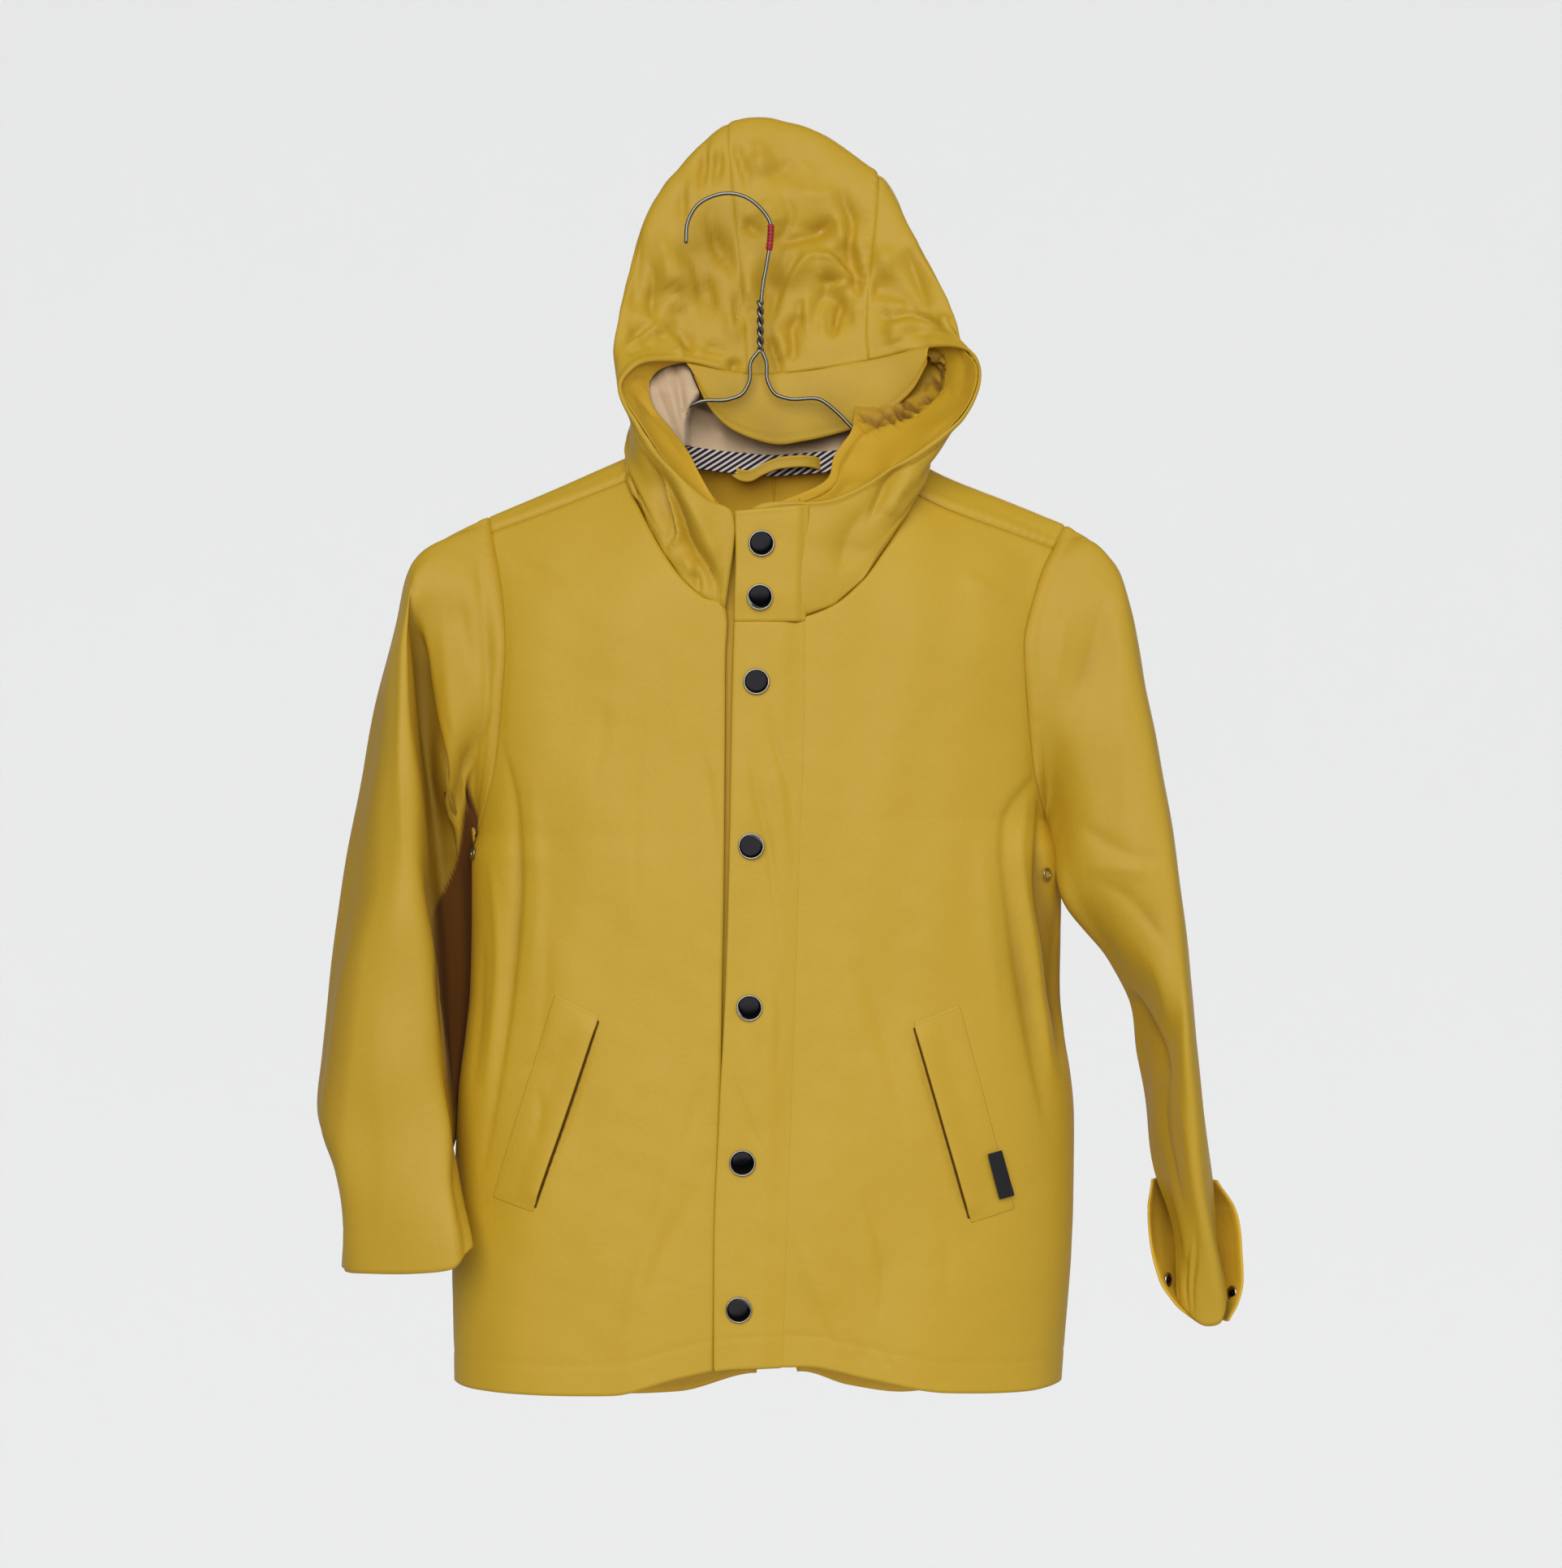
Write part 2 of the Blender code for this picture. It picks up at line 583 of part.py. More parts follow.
YELLOW = ("coated_yellow", 0.57, 0.37, 0.055)
CREAM = ("lining_cream", 0.60, 0.42, 0.30)
STRIPE = ("striped_tape", 0.22, 0.20, 0.24)
STEEL = ("wire_steel", 0.30, 0.30, 0.29)
CHROME = ("dark_chrome", 0.20, 0.19, 0.18)
BLACK = ("label_black", 0.01, 0.01, 0.012)
RED = ("tape_red", 0.45, 0.01, 0.02)


def wall(name, outer, normals, colour, thickness=WALL, closed=False):
    """A closed cloth wall from its outer points; closed joins the last column to the first.

    Both faces are split along the same diagonals, so layers over each other stay apart.
    """
    rows, columns = outer.shape[:2]
    inner = outer - normals * thickness
    vertices = np.concatenate([outer.reshape(-1, 3), inner.reshape(-1, 3)])
    count = rows * columns
    faces = []
    spans = columns if closed else columns - 1
    for i in range(rows - 1):
        for j in range(spans):
            k = (j + 1) % columns
            a, b, c, d = i * columns + j, (i + 1) * columns + j, (i + 1) * columns + k, i * columns + k
            faces += [(a, b, c), (a, c, d)]
            faces += [(a + count, c + count, b + count), (a + count, d + count, c + count)]
    for i in (0, rows - 1):
        for j in range(spans):
            k = (j + 1) % columns
            faces.append((i * columns + j, i * columns + k, i * columns + k + count, i * columns + j + count))
    if not closed:
        for j in (0, columns - 1):
            for i in range(rows - 1):
                a, b = i * columns + j, (i + 1) * columns + j
                faces.append((a, b, b + count, a + count))
    return add_object(name, vertices, faces, colour)


def tube(name, path, radius, colour, sides=8, closed=False, metallic=1.0):
    """A wire of round section along points."""
    path = np.asarray(path, float)
    if closed:
        ahead = unit(np.roll(path, -1, axis=0) - np.roll(path, 1, axis=0))
    else:
        ahead = unit(np.gradient(path, axis=0))
    side = np.array([0.0, 1.0, 0.0])
    up = unit(np.cross(ahead, side))
    angles = np.arange(sides) * 2 * math.pi / sides
    vertices = []
    for point, lift in zip(path, up):
        for angle in angles:
            vertices.append(point + radius * (math.cos(angle) * side + math.sin(angle) * lift))
    rings = len(path)
    faces = []
    for i in range(rings if closed else rings - 1):
        for j in range(sides):
            k = (j + 1) % sides
            n = (i + 1) % rings
            faces.append((i * sides + j, i * sides + k, n * sides + k, n * sides + j))
    if not closed:
        faces.append(tuple(range(sides)))
        faces.append(tuple((rings - 1) * sides + j for j in range(sides)))
    return add_object(name, vertices, faces, colour, 0.35, metallic)


def turned(name, centre, axis, profile, colour, sides=14, metallic=1.0):
    """A turned cap: profile rows are (radius, height) from its back to its front."""
    axis = unit(np.asarray(axis, float))
    side = unit(np.cross(axis, [0.0, 0.0, 1.0]))
    up = np.cross(side, axis)
    vertices = []
    for radius, height in profile:
        for j in range(sides):
            angle = j * 2 * math.pi / sides
            vertices.append(centre + axis * height + radius * (math.cos(angle) * side + math.sin(angle) * up))
    faces = []
    for i in range(len(profile) - 1):
        for j in range(sides):
            k = (j + 1) % sides
            faces.append((i * sides + j, i * sides + k, (i + 1) * sides + k, (i + 1) * sides + j))
    faces.append(tuple(range(sides)))
    faces.append(tuple((len(profile) - 1) * sides + j for j in range(sides)))
    return add_object(name, vertices, faces, colour, 0.25, metallic)


def ring(name, centre, axis, radius, thick, colour, sides=14, section=6):
    """A flat round ring round an axis."""
    axis = unit(np.asarray(axis, float))
    side = unit(np.cross(axis, [0.0, 0.0, 1.0]))
    up = np.cross(side, axis)
    vertices = []
    for j in range(sides):
        angle = j * 2 * math.pi / sides
        out = math.cos(angle) * side + math.sin(angle) * up
        for k in range(section):
            turn = k * 2 * math.pi / section
            vertices.append(centre + out * (radius + thick * math.cos(turn)) + axis * 0.6 * thick * math.sin(turn))
    faces = []
    for j in range(sides):
        for k in range(section):
            n, m = (j + 1) % sides, (k + 1) % section
            faces.append((j * section + k, n * section + k, n * section + m, j * section + m))
    return add_object(name, vertices, faces, colour, 0.3, 1.0)


# ---------------------------------------------------------------- the pieces

def make_fronts():
    for side in SIDES:
        points, normals = front_grid(side)
        points = trimmed(points, 0, SEAM, SEAM, SEAM)
        wall("front_" + side, points, normals, YELLOW)


def make_backs():
    for side in SIDES:
        points, normals = back_grid(side)
        points = trimmed(points, 0, SEAM, SEAM, SEAM)
        wall("back_" + side, points, normals, YELLOW)


def make_sleeves():
    for side in SIDES:
        rings, normals = sleeve_grid(side)
        rings = trimmed(rings, first_row=SEAM)
        wall("sleeve_" + side, rings, normals, YELLOW, closed=True)


def make_turn_up():
    turns = np.linspace(0, math.pi, 11)
    grid = []
    for row in TURN_UP:
        x = row["right_x"] + (row["left_x"] - row["right_x"]) * (1 - np.cos(turns)) / 2
        ends = row["right_y"] + (row["left_y"] - row["right_y"]) * turns / math.pi
        y = ends + (row["back_y"] - ends) * np.sin(turns) ** 0.9
        grid.append(np.stack([x, y, np.full(len(x), row["z"])], axis=-1))
    grid = np.array(grid, float)
    wall("cuff_turn_up_left", grid, grid_normals(grid), YELLOW)


def hood_shell():
    """Stations, points and directions of the whole hood."""
    rows = np.arange(HOOD_ROWS, dtype=float)
    middle = np.arange(SEAM_STATIONS[0], SEAM_STATIONS[1] + 0.1, 0.5)
    stations = np.concatenate([np.arange(SEAM_STATIONS[0]), middle, np.arange(SEAM_STATIONS[1] + 1, 19)])
    grid = hood_grid(stations, rows)
    normals = grid_normals(grid)
    for i in (0, -1):
        normals[:, i] = unit(normals[:, i] + body_normal(grid[:, i], np.full(len(rows), False)))
    return stations, grid, normals


def read_shell(values, at_station, at_row):
    """Values of the hood's shell between its own points, straight along its facets."""
    stations = hood_shell()[0]
    i = np.clip(np.floor(at_row).astype(int), 0, HOOD_ROWS - 2)
    j = np.clip(np.searchsorted(stations, at_station, side="right") - 1, 0, len(stations) - 2)
    down = (at_row - i)[:, None, None]
    span = ((at_station - stations[j]) / (stations[j + 1] - stations[j]))[None, :, None]
    near = values[i][:, j] * (1 - span) + values[i][:, j + 1] * span
    far = values[i + 1][:, j] * (1 - span) + values[i + 1][:, j + 1] * span
    return near * (1 - down) + far * down


def make_hood():
    stations, grid, normals = hood_shell()
    last = stations.tolist().index(SEAM_STATIONS[1])
    first = SEAM_STATIONS[0]
    panels = (
        ("hood_side_right", 0, first), ("hood_center", first, last), ("hood_side_left", last, len(stations) - 1),
    )
    for name, start, stop in panels:
        part = trimmed(grid[:, start:stop + 1], 0, SEAM, SEAM, SEAM)
        wall(name, part, normals[:, start:stop + 1], YELLOW)


def make_hood_inside():
    """The turned-in facing along the face edge, and the lining behind it."""
    stations, grid, normals = hood_shell()
    inset = WALL + LAYER
    for side, start, stop in (("right", 1, 7), ("left", 11, 17)):
        across = np.arange(start, stop + 1, dtype=float)
        down = np.array([0.25, 1.0, 1.5])
        outward = read_shell(normals, across, down)
        wall("hood_facing_" + side, read_shell(grid, across, down) - outward * inset, outward, YELLOW, 1.0)
    across = np.concatenate([[2.2], np.arange(3, 8.5), [9.0], np.arange(10, 15.5), [15.8]])
    down = np.array([2.0, 3.0, 4.0, 5.0, 6.0, 7.0, 8.0, 9.0, 10.0, 11.0, 11.3])
    outward = read_shell(normals, across, down)
    points = read_shell(grid, across, down) - outward * (inset + LINING_SET_IN)
    wall("hood_lining", points, outward, CREAM, 1.0)


def make_brim():
    station = column(BRIM, "station")
    stations, shell, normals = hood_shell()
    seam = read_shell(shell, station, np.array([0.0]))[0]
    seam[:, 2] -= 1.4
    edge = np.stack([column(BRIM, "edge" + axis) for axis in ("_x", "_y", "_z")], axis=-1)
    grid = np.array([seam + (edge - seam) * share for share in (0.0, 0.5, 1.0)])
    grid[1, :, 1] -= 0.8
    normals = grid_normals(grid)
    if normals[..., 1].mean() > 0:
        normals = -normals
    wall("hood_brim", grid, normals, YELLOW, 1.6)


def strip_on_front(rows, shares, levels, lift):
    """Points of the front between two edges of a table, moved out by lift."""
    low = lookup(rows, "z", "from_x", levels)
    high = lookup(rows, "z", "to_x", levels)
    x = low[:, None] + (high - low)[:, None] * shares[None]
    z = np.repeat(levels[:, None], len(shares), axis=1)
    points = body_point(x, z, False)
    normals = body_normal(points, np.full(x.shape, False))
    return points + normals * lift, normals


def placket_bottom(points):
    """The placket's lower end follows the hem."""
    points[-1, :, 2] = lookup(HEM_FRONT, "x", "z", points[-1, :, 0]) + 0.4
    return points


PLACKET_LIFT = WALL + LAYER


def make_placket():
    shares = np.linspace(0, 1, 5)
    levels = np.linspace(PLACKET[0]["z"], PLACKET[-1]["z"], 12)
    points, normals = strip_on_front(PLACKET, shares, levels, PLACKET_LIFT)
    wall("placket", placket_bottom(points), normals, YELLOW)
    levels = np.linspace(COLLAR_FLAP[0]["z"], COLLAR_FLAP[-1]["z"], 5)
    points, normals = strip_on_front(COLLAR_FLAP, shares, levels, 0.0)
    points[..., 1] = -57.5 + 0.0016 * (points[..., 0] - 24) ** 2
    points[..., 1] += (levels[:, None] + 252.5) / 61.5 * 1.0
    normals[:] = (0.0, -1.0, 0.0)
    wall("placket_collar", points, normals, YELLOW)
    levels = np.linspace(UNDERLAP[0]["z"], UNDERLAP[-1]["z"], 9)
    points, normals = strip_on_front(UNDERLAP, shares, levels, -4.0)
    wall("front_underlap", points, normals, YELLOW)


def make_snaps():
    profile = ((SNAP_R * 0.9, 0.0), (SNAP_R, 0.5), (SNAP_R, 1.3), (SNAP_R * 0.86, 2.0), (SNAP_R * 0.5, 2.4))
    for number, row in enumerate(SNAPS, 1):
        if row["z"] > PLACKET[0]["z"]:
            point, normal = np.array([row["x"], -58.1, row["z"]]), np.array([0.0, -1.0, 0.0])
        else:
            point = body_point(row["x"], row["z"], False)
            normal = body_normal(point, np.array(False))
            point = point + normal * (PLACKET_LIFT + 0.5)
        turned("snap_%d" % number, point, normal, profile, CHROME)


def make_pockets():
    shares = np.linspace(0, 1, 4)
    for side in SIDES:
        top, bottom = WELT[side]
        downs = np.linspace(0, 1, 7)[:, None]
        slit_x = top["slit_x"] + (bottom["slit_x"] - top["slit_x"]) * downs
        slit_z = top["slit_z"] + (bottom["slit_z"] - top["slit_z"]) * downs
        back_x = top["back_x"] + (bottom["back_x"] - top["back_x"]) * downs
        back_z = top["back_z"] + (bottom["back_z"] - top["back_z"]) * downs
        x = slit_x + (back_x - slit_x) * shares
        z = slit_z + (back_z - slit_z) * shares
        points = body_point(x, z, False)
        normals = body_normal(points, np.full(x.shape, False))
        wall("pocket_welt_" + side, points + normals * (WALL + LAYER), normals, YELLOW)
    x = np.array([[150, 158], [153, 161], [156.5, 165]], float)
    z = np.array([[-562, -560], [-574, -572], [-588, -586]], float)
    points = body_point(x, z, False)
    normals = body_normal(points, np.full(x.shape, False))
    wall("pocket_label", points + normals * (WALL + LAYER + 1.2), normals, BLACK, 0.7)


def inside_neck(stations, drop, inset):
    """Points just inside the back neckline at a height above or below it."""
    nape = hood_grid(stations, np.array([float(HOOD_HOOPS[-1])]))[0]
    ahead = np.gradient(nape, axis=0)
    inward = unit(np.stack([ahead[:, 1], -ahead[:, 0], np.zeros(len(nape))], axis=-1))
    points = nape + inward * inset
    points[:, 2] += drop
    return points, inward


def make_neck_tape():
    stations = np.arange(5.0, 13.5, 1.0)
    grid = []
    for rise in (4.0, -1.5, -7.0):
        points, inward = inside_neck(stations, rise, 3.0)
        grid.append(points)
    wall("neck_tape", np.array(grid), np.array([-inward] * 3), STRIPE, 0.9)
    middle, inward = inside_neck(np.array([8.0, 9.0, 10.0]), 0.0, 3.0)
    y = middle[1, 1] - 1.6
    route = np.array([(9, y - 1.5, -163), (13, y - 5, -165), (22, y - 9, -160), (34, y - 11, -154.5),
                      (47, y - 10, -152.5), (53, y - 8.5, -155), (56, y - 6.5, -159)])
    path = along(route, np.linspace(0, 1, 12))
    ahead = unit(np.gradient(path, axis=0))
    out = unit(np.cross(ahead, [0.0, 0.0, 1.0]))
    half = np.array([0.0, 0.0, 3.0])
    wall("hanging_loop", np.array([path + half, path, path - half]), np.array([out] * 3), YELLOW, 1.0)


def make_eyelets():
    for side, z in (("right", -388), ("left", -402)):
        left = float(lookup(BODY, "z", "left", z))
        right = float(lookup(BODY, "z", "right", z))
        depth = float(lookup(BODY, "z", "front", z))
        y = -12.0
        reach = (1 - (y / depth) ** 2) ** (1 / FORM_POWER) * (right - left) / 2
        point = np.array([(left + right) / 2 + SIDES[side] * reach, y, z])
        normal = body_normal(point, np.array(False))
        ring("eyelet_" + side, point + normal * 0.9, normal, EYELET_R, 0.9, STEEL)


def make_cuff_snaps():
    profile = ((CUFF_SNAP_R * 0.8, 0.0), (CUFF_SNAP_R, 0.5), (CUFF_SNAP_R * 0.95, 1.4), (CUFF_SNAP_R * 0.5, 1.9))
    places = (
        ("cuff_snap_inner", (258.6, -7.0, -638.0), (0.93, -0.36, 0.0)),
        ("cuff_snap_outer", (296.8, -4.0, -648.0), (-0.93, -0.36, 0.0)),
    )
    for name, centre, axis in places:
        turned(name, np.array(centre), axis, profile, CHROME, sides=12)


def make_hanger():
    flat = lambda rows: [(r["x"], 0.0, r["z"]) for r in rows]
    tube("hanger_hook", along(flat(HOOK), np.linspace(0, 1, 26)), WIRE_R, STEEL)
    right = along(flat(ARM_RIGHT), np.linspace(0, 1, 34))
    left = along(flat(ARM_LEFT), np.linspace(0, 1, 34))
    bar = np.linspace(right[-1], left[-1], 8)[1:-1]
    tube("hanger_frame", np.concatenate([right, bar, left[::-1]]), WIRE_R, STEEL, closed=True)
    rows, sides = 18, 10
    vertices = []
    for i in range(rows):
        share = i / (rows - 1)
        turn = share * TWIST_TURNS * math.pi
        for j in range(sides):
            angle = j * 2 * math.pi / sides
            radius = WIRE_R * (1.45 + 0.5 * math.cos(2 * angle))
            vertices.append((
                TWIST_X + radius * math.cos(angle + turn), radius * math.sin(angle + turn),
                TWIST_TOP + (TWIST_BOTTOM - TWIST_TOP) * share,
            ))
    faces = [tuple(range(sides)), tuple((rows - 1) * sides + j for j in range(sides))]
    for i in range(rows - 1):
        for j in range(sides):
            k = (j + 1) % sides
            faces.append((i * sides + j, i * sides + k, (i + 1) * sides + k, (i + 1) * sides + j))
    add_object("hanger_twist", vertices, faces, STEEL, 0.35, 1.0)
    shares = np.linspace(0.625, 0.735, 6)
    centre = along(flat(HOOK), shares)
    ahead = unit(np.gradient(centre, axis=0))
    lift = unit(np.cross(ahead, [0.0, 1.0, 0.0]))
    angles = np.arange(10) * 2 * math.pi / 10
    grid = []
    for point, up in zip(centre, lift):
        grid.append([point + 2.2 * (math.cos(a) * np.array([0.0, 1.0, 0.0]) + math.sin(a) * up) for a in angles])
    grid = np.array(grid)
    wall("hanger_tape", grid, grid_normals(grid, closed=True), RED, 0.5, closed=True)


for leftover in list(bpy.data.objects):
    bpy.data.objects.remove(leftover, do_unlink=True)
make_fronts()
make_backs()
make_sleeves()
make_turn_up()
make_hood()
make_hood_inside()
make_brim()
make_placket()
make_snaps()
make_pockets()
make_neck_tape()
make_eyelets()
make_cuff_snaps()
make_hanger()
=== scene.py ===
"""Looks of a child's hooded rain windbreaker on a wire hanger.

Every cloth piece is a thin shell on the form of its solid in the frame: the same tables and curves, read finer,
with creases, seams, hems and gathers as soft troughs and ridges. Tables are in millimetres, meshes in metres.
+X is the wearer's left, +Z is up and the front faces -Y. Right and left in names are the wearer's.
"""

import math

import bpy
import numpy as np
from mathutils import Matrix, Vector
from mathutils.kdtree import KDTree


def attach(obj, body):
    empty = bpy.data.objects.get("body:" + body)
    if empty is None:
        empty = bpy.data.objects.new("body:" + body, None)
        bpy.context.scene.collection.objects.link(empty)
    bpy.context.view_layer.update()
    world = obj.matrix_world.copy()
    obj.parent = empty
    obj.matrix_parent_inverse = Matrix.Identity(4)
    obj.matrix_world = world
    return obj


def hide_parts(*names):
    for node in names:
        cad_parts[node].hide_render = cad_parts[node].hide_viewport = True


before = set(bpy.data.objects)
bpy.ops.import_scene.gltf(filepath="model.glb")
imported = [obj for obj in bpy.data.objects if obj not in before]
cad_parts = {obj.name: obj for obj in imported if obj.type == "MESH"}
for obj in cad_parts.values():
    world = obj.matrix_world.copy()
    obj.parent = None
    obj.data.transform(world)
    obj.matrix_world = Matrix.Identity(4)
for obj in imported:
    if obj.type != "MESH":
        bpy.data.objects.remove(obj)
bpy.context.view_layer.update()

MM = 0.001
CLOTH = 1.0            # thickness of the coated cloth
FORM_POWER = 3.2       # squareness of the body's plan
SHOULDER_POWER = 0.7   # how fast the body deepens below the shoulder ridge
CLOSE_FRONT = 110.0    # height over which the front deepens below the ridge
CLOSE_BACK = 70.0      # the same for the back
FRONT_SPACING = 1.9    # between the points of the fronts' meshes
BACK_SPACING = 2.9
SLEEVE_SPACING = 2.2
HOOD_SPACING = 1.7
HOOD_FOLD_DEPTH = 2.8  # how much deeper the hood's folds are than their table says
HOOD_FOLD_WIDTH = 1.55  # and how much wider
NAPE_LAP = 1.6         # how far the hood's lower edge reaches past the neck seam, inside the body
LINING_GAP = 3.4       # the lining, below the hood's outside
PLACKET_LIFT = 2.1     # the front flap's outside, over the front's
WIRE_R = 1.15
EYELET_R = 3.2
# Rows of stitches, as distances from a piece's edge.
HEM_TURN = 18.0
CUFF_TURN = 24.0
SEAM_STITCH = 7.6
CENTRE_STITCH = 6.8
TURN_UP_STITCH = 4.0
RIM_STITCHES = (3.0, 6.0)
BRIM_STITCH = 3.2
PLACKET_STITCH = 1.8
COLLAR_STITCH = 2.6
WELT_STITCH = 1.6
LOOP_STITCH = 1.2
SIDES = {"right": -1, "left": 1}
UNDERARM = {"right": -378.0, "left": -368.0}
VIEW_CENTRE = (31.2, 0.0, -348.0)
CAMERA_DISTANCE = 2400.0
VIEW_HEIGHT = 927.36   # what the camera sees of the plane y = 0


def table(names, *rows):
    """Named columns from rows of numbers."""
    return dict(zip(names.split(), np.array(rows, float).T))


def stacked(rows, *names):
    """Columns of a table side by side, as points; one that isn't there is 0."""
    missing = np.zeros(len(next(iter(rows.values()))))
    return np.stack([rows.get(name, missing) for name in names], axis=-1)


def spots(rows, name):
    return stacked(rows, name + "_x", name + "_y", name + "_z")


# ---------------------------------------------------------------- the garment's sizes

# Plan of the body at each height: its two sides, and its depth to the front and to the back.
BODY = table(
    "z left right front back",
    (-130, -160.0, 214.0, 44, 42),
    (-200, -155.0, 209.0, 48, 45),
    (-255, -151.0, 196.0, 52, 49),
    (-315, -148.5, 189.5, 55, 52),
    (-368, -147.6, 187.4, 58, 55),
    (-378, -148.3, 193.0, 58.3, 55.3),
    (-392, -151.6, 196.4, 59, 56),
    (-415, -151.6, 197.0, 60, 57),
    (-465, -152.5, 196.5, 62, 60),
    (-545, -160.0, 204.5, 65, 64),
    (-620, -163.0, 202.5, 67, 67),
    (-700, -162.0, 197.0, 68, 70),
)
# The shoulder ridge, carried by the wire, with the neck bridged over.
RIDGE = table(
    "x z",
    (-190, -219), (-164, -200), (-144, -191), (-104, -174), (-63, -156), (-20, -138), (30, -130),
    (80, -142), (131, -167), (164, -180), (186, -189), (200, -195), (213, -204), (230, -218),
)
# Hem heights across the front and the back.
HEM_FRONT = table(
    "x z",
    (-163, -700), (-150, -701), (-117, -701), (-67, -700), (-28, -690), (5, -684), (44, -683),
    (84, -691), (127, -699), (175, -701), (198, -699),
)
HEM_BACK = table(
    "x z",
    (-163, -700), (-120, -706), (-58, -718), (-31, -717), (14, -706), (44, -705), (72, -713),
    (102, -717), (150, -708), (198, -699),
)
# Armholes from the underarm to the ridge, the same for the front and the back.
ARMHOLE = {
    "right": table(
        "x z",
        (-148.3, -378), (-142, -358), (-137, -336), (-132.5, -297), (-131, -265), (-133.5, -235),
        (-139, -206), (-142, -190.1),
    ),
    "left": table(
        "x z",
        (187.4, -368), (181.5, -346), (177.5, -317), (175, -287), (174.5, -262), (180, -240),
        (186, -222), (192, -210), (199.5, -194.8),
    ),
}
# Where along the armhole the shoulder seam ends, as a part of its length from the underarm.
SEAM_STOP = {"right": 0.95, "left": 0.91}
FRONT_STOPS = (0.0, 0.12, 0.24, 0.36, 0.46, 0.54, 0.62, 0.72, 0.80, 0.88, 0.95)
BACK_STOPS = (0.0, 0.12, 0.24, 0.36, 0.46, 0.54, 0.62, 0.68, 0.74, 0.80, 0.86, 0.91, 0.96, 1.0)
# Front edges from the hem to the underarm level, then up to the foot of the neckline.
FRONT_EDGE = {
    "right": table("z x", (-700, -8), (-620, -6), (-545, -4), (-465, -3), (-410, -2), (-240, -1)),
    "left": table("z x", (-700, 7), (-620, 8), (-545, 9), (-240, 9)),
}
CHEST_LEVELS = {"right": (-378, -340, -306, -275), "left": (-368, -338, -308, -280)}
# Front necklines from the front edge to the shoulder seam.
NECK_FRONT = {
    "right": table(
        "x z", (-1, -246), (-14, -239.5), (-26, -229), (-37, -214), (-46, -198), (-54, -182), (-60, -169)
    ),
    "left": table(
        "x z", (9, -253), (38, -252.5), (62, -244), (79, -229), (92, -211), (102, -192), (108, -176)
    ),
}
# Back necklines from the centre back over the ridge to the shoulder seam: drop is below the ridge,
# negative once over on the front.
NECK_BACK = {
    "right": table(
        "x drop", (27, 23), (18, 22), (7, 19.5), (-6, 16), (-19, 11.5), (-31, 7.4), (-41, 3.8),
        (-50, 0), (-56, -5), (-60, -14),
    ),
    "left": table(
        "x drop", (27, 23), (37, 22), (48, 19.5), (60, 15.5), (72, 11), (84, 7), (94, 3.6),
        (103, 0), (107, -7), (108, -20),
    ),
}
# The centre back line, with the vent that opens below its seam.
BACK_EDGE = {
    "right": table("z x", (-720, 13), (-690, 17), (-650, 24), (-605, 26.8), (-590, 27), (-150, 27)),
    "left": table("z x", (-720, 46), (-690, 40), (-650, 31), (-605, 27.2), (-590, 27), (-150, 27)),
}
SHOULDER_BLADE_LEVELS = (-372, -335, -300, -262, -225, -188)
CENTRE_BACK = 27.0
HEM_LEVEL = -695.0     # of the lowest row before the hem's own line bends it
HEM_BEND_TOP = -400.0
LOW_ROWS_TOP = -386.0  # just under the armholes

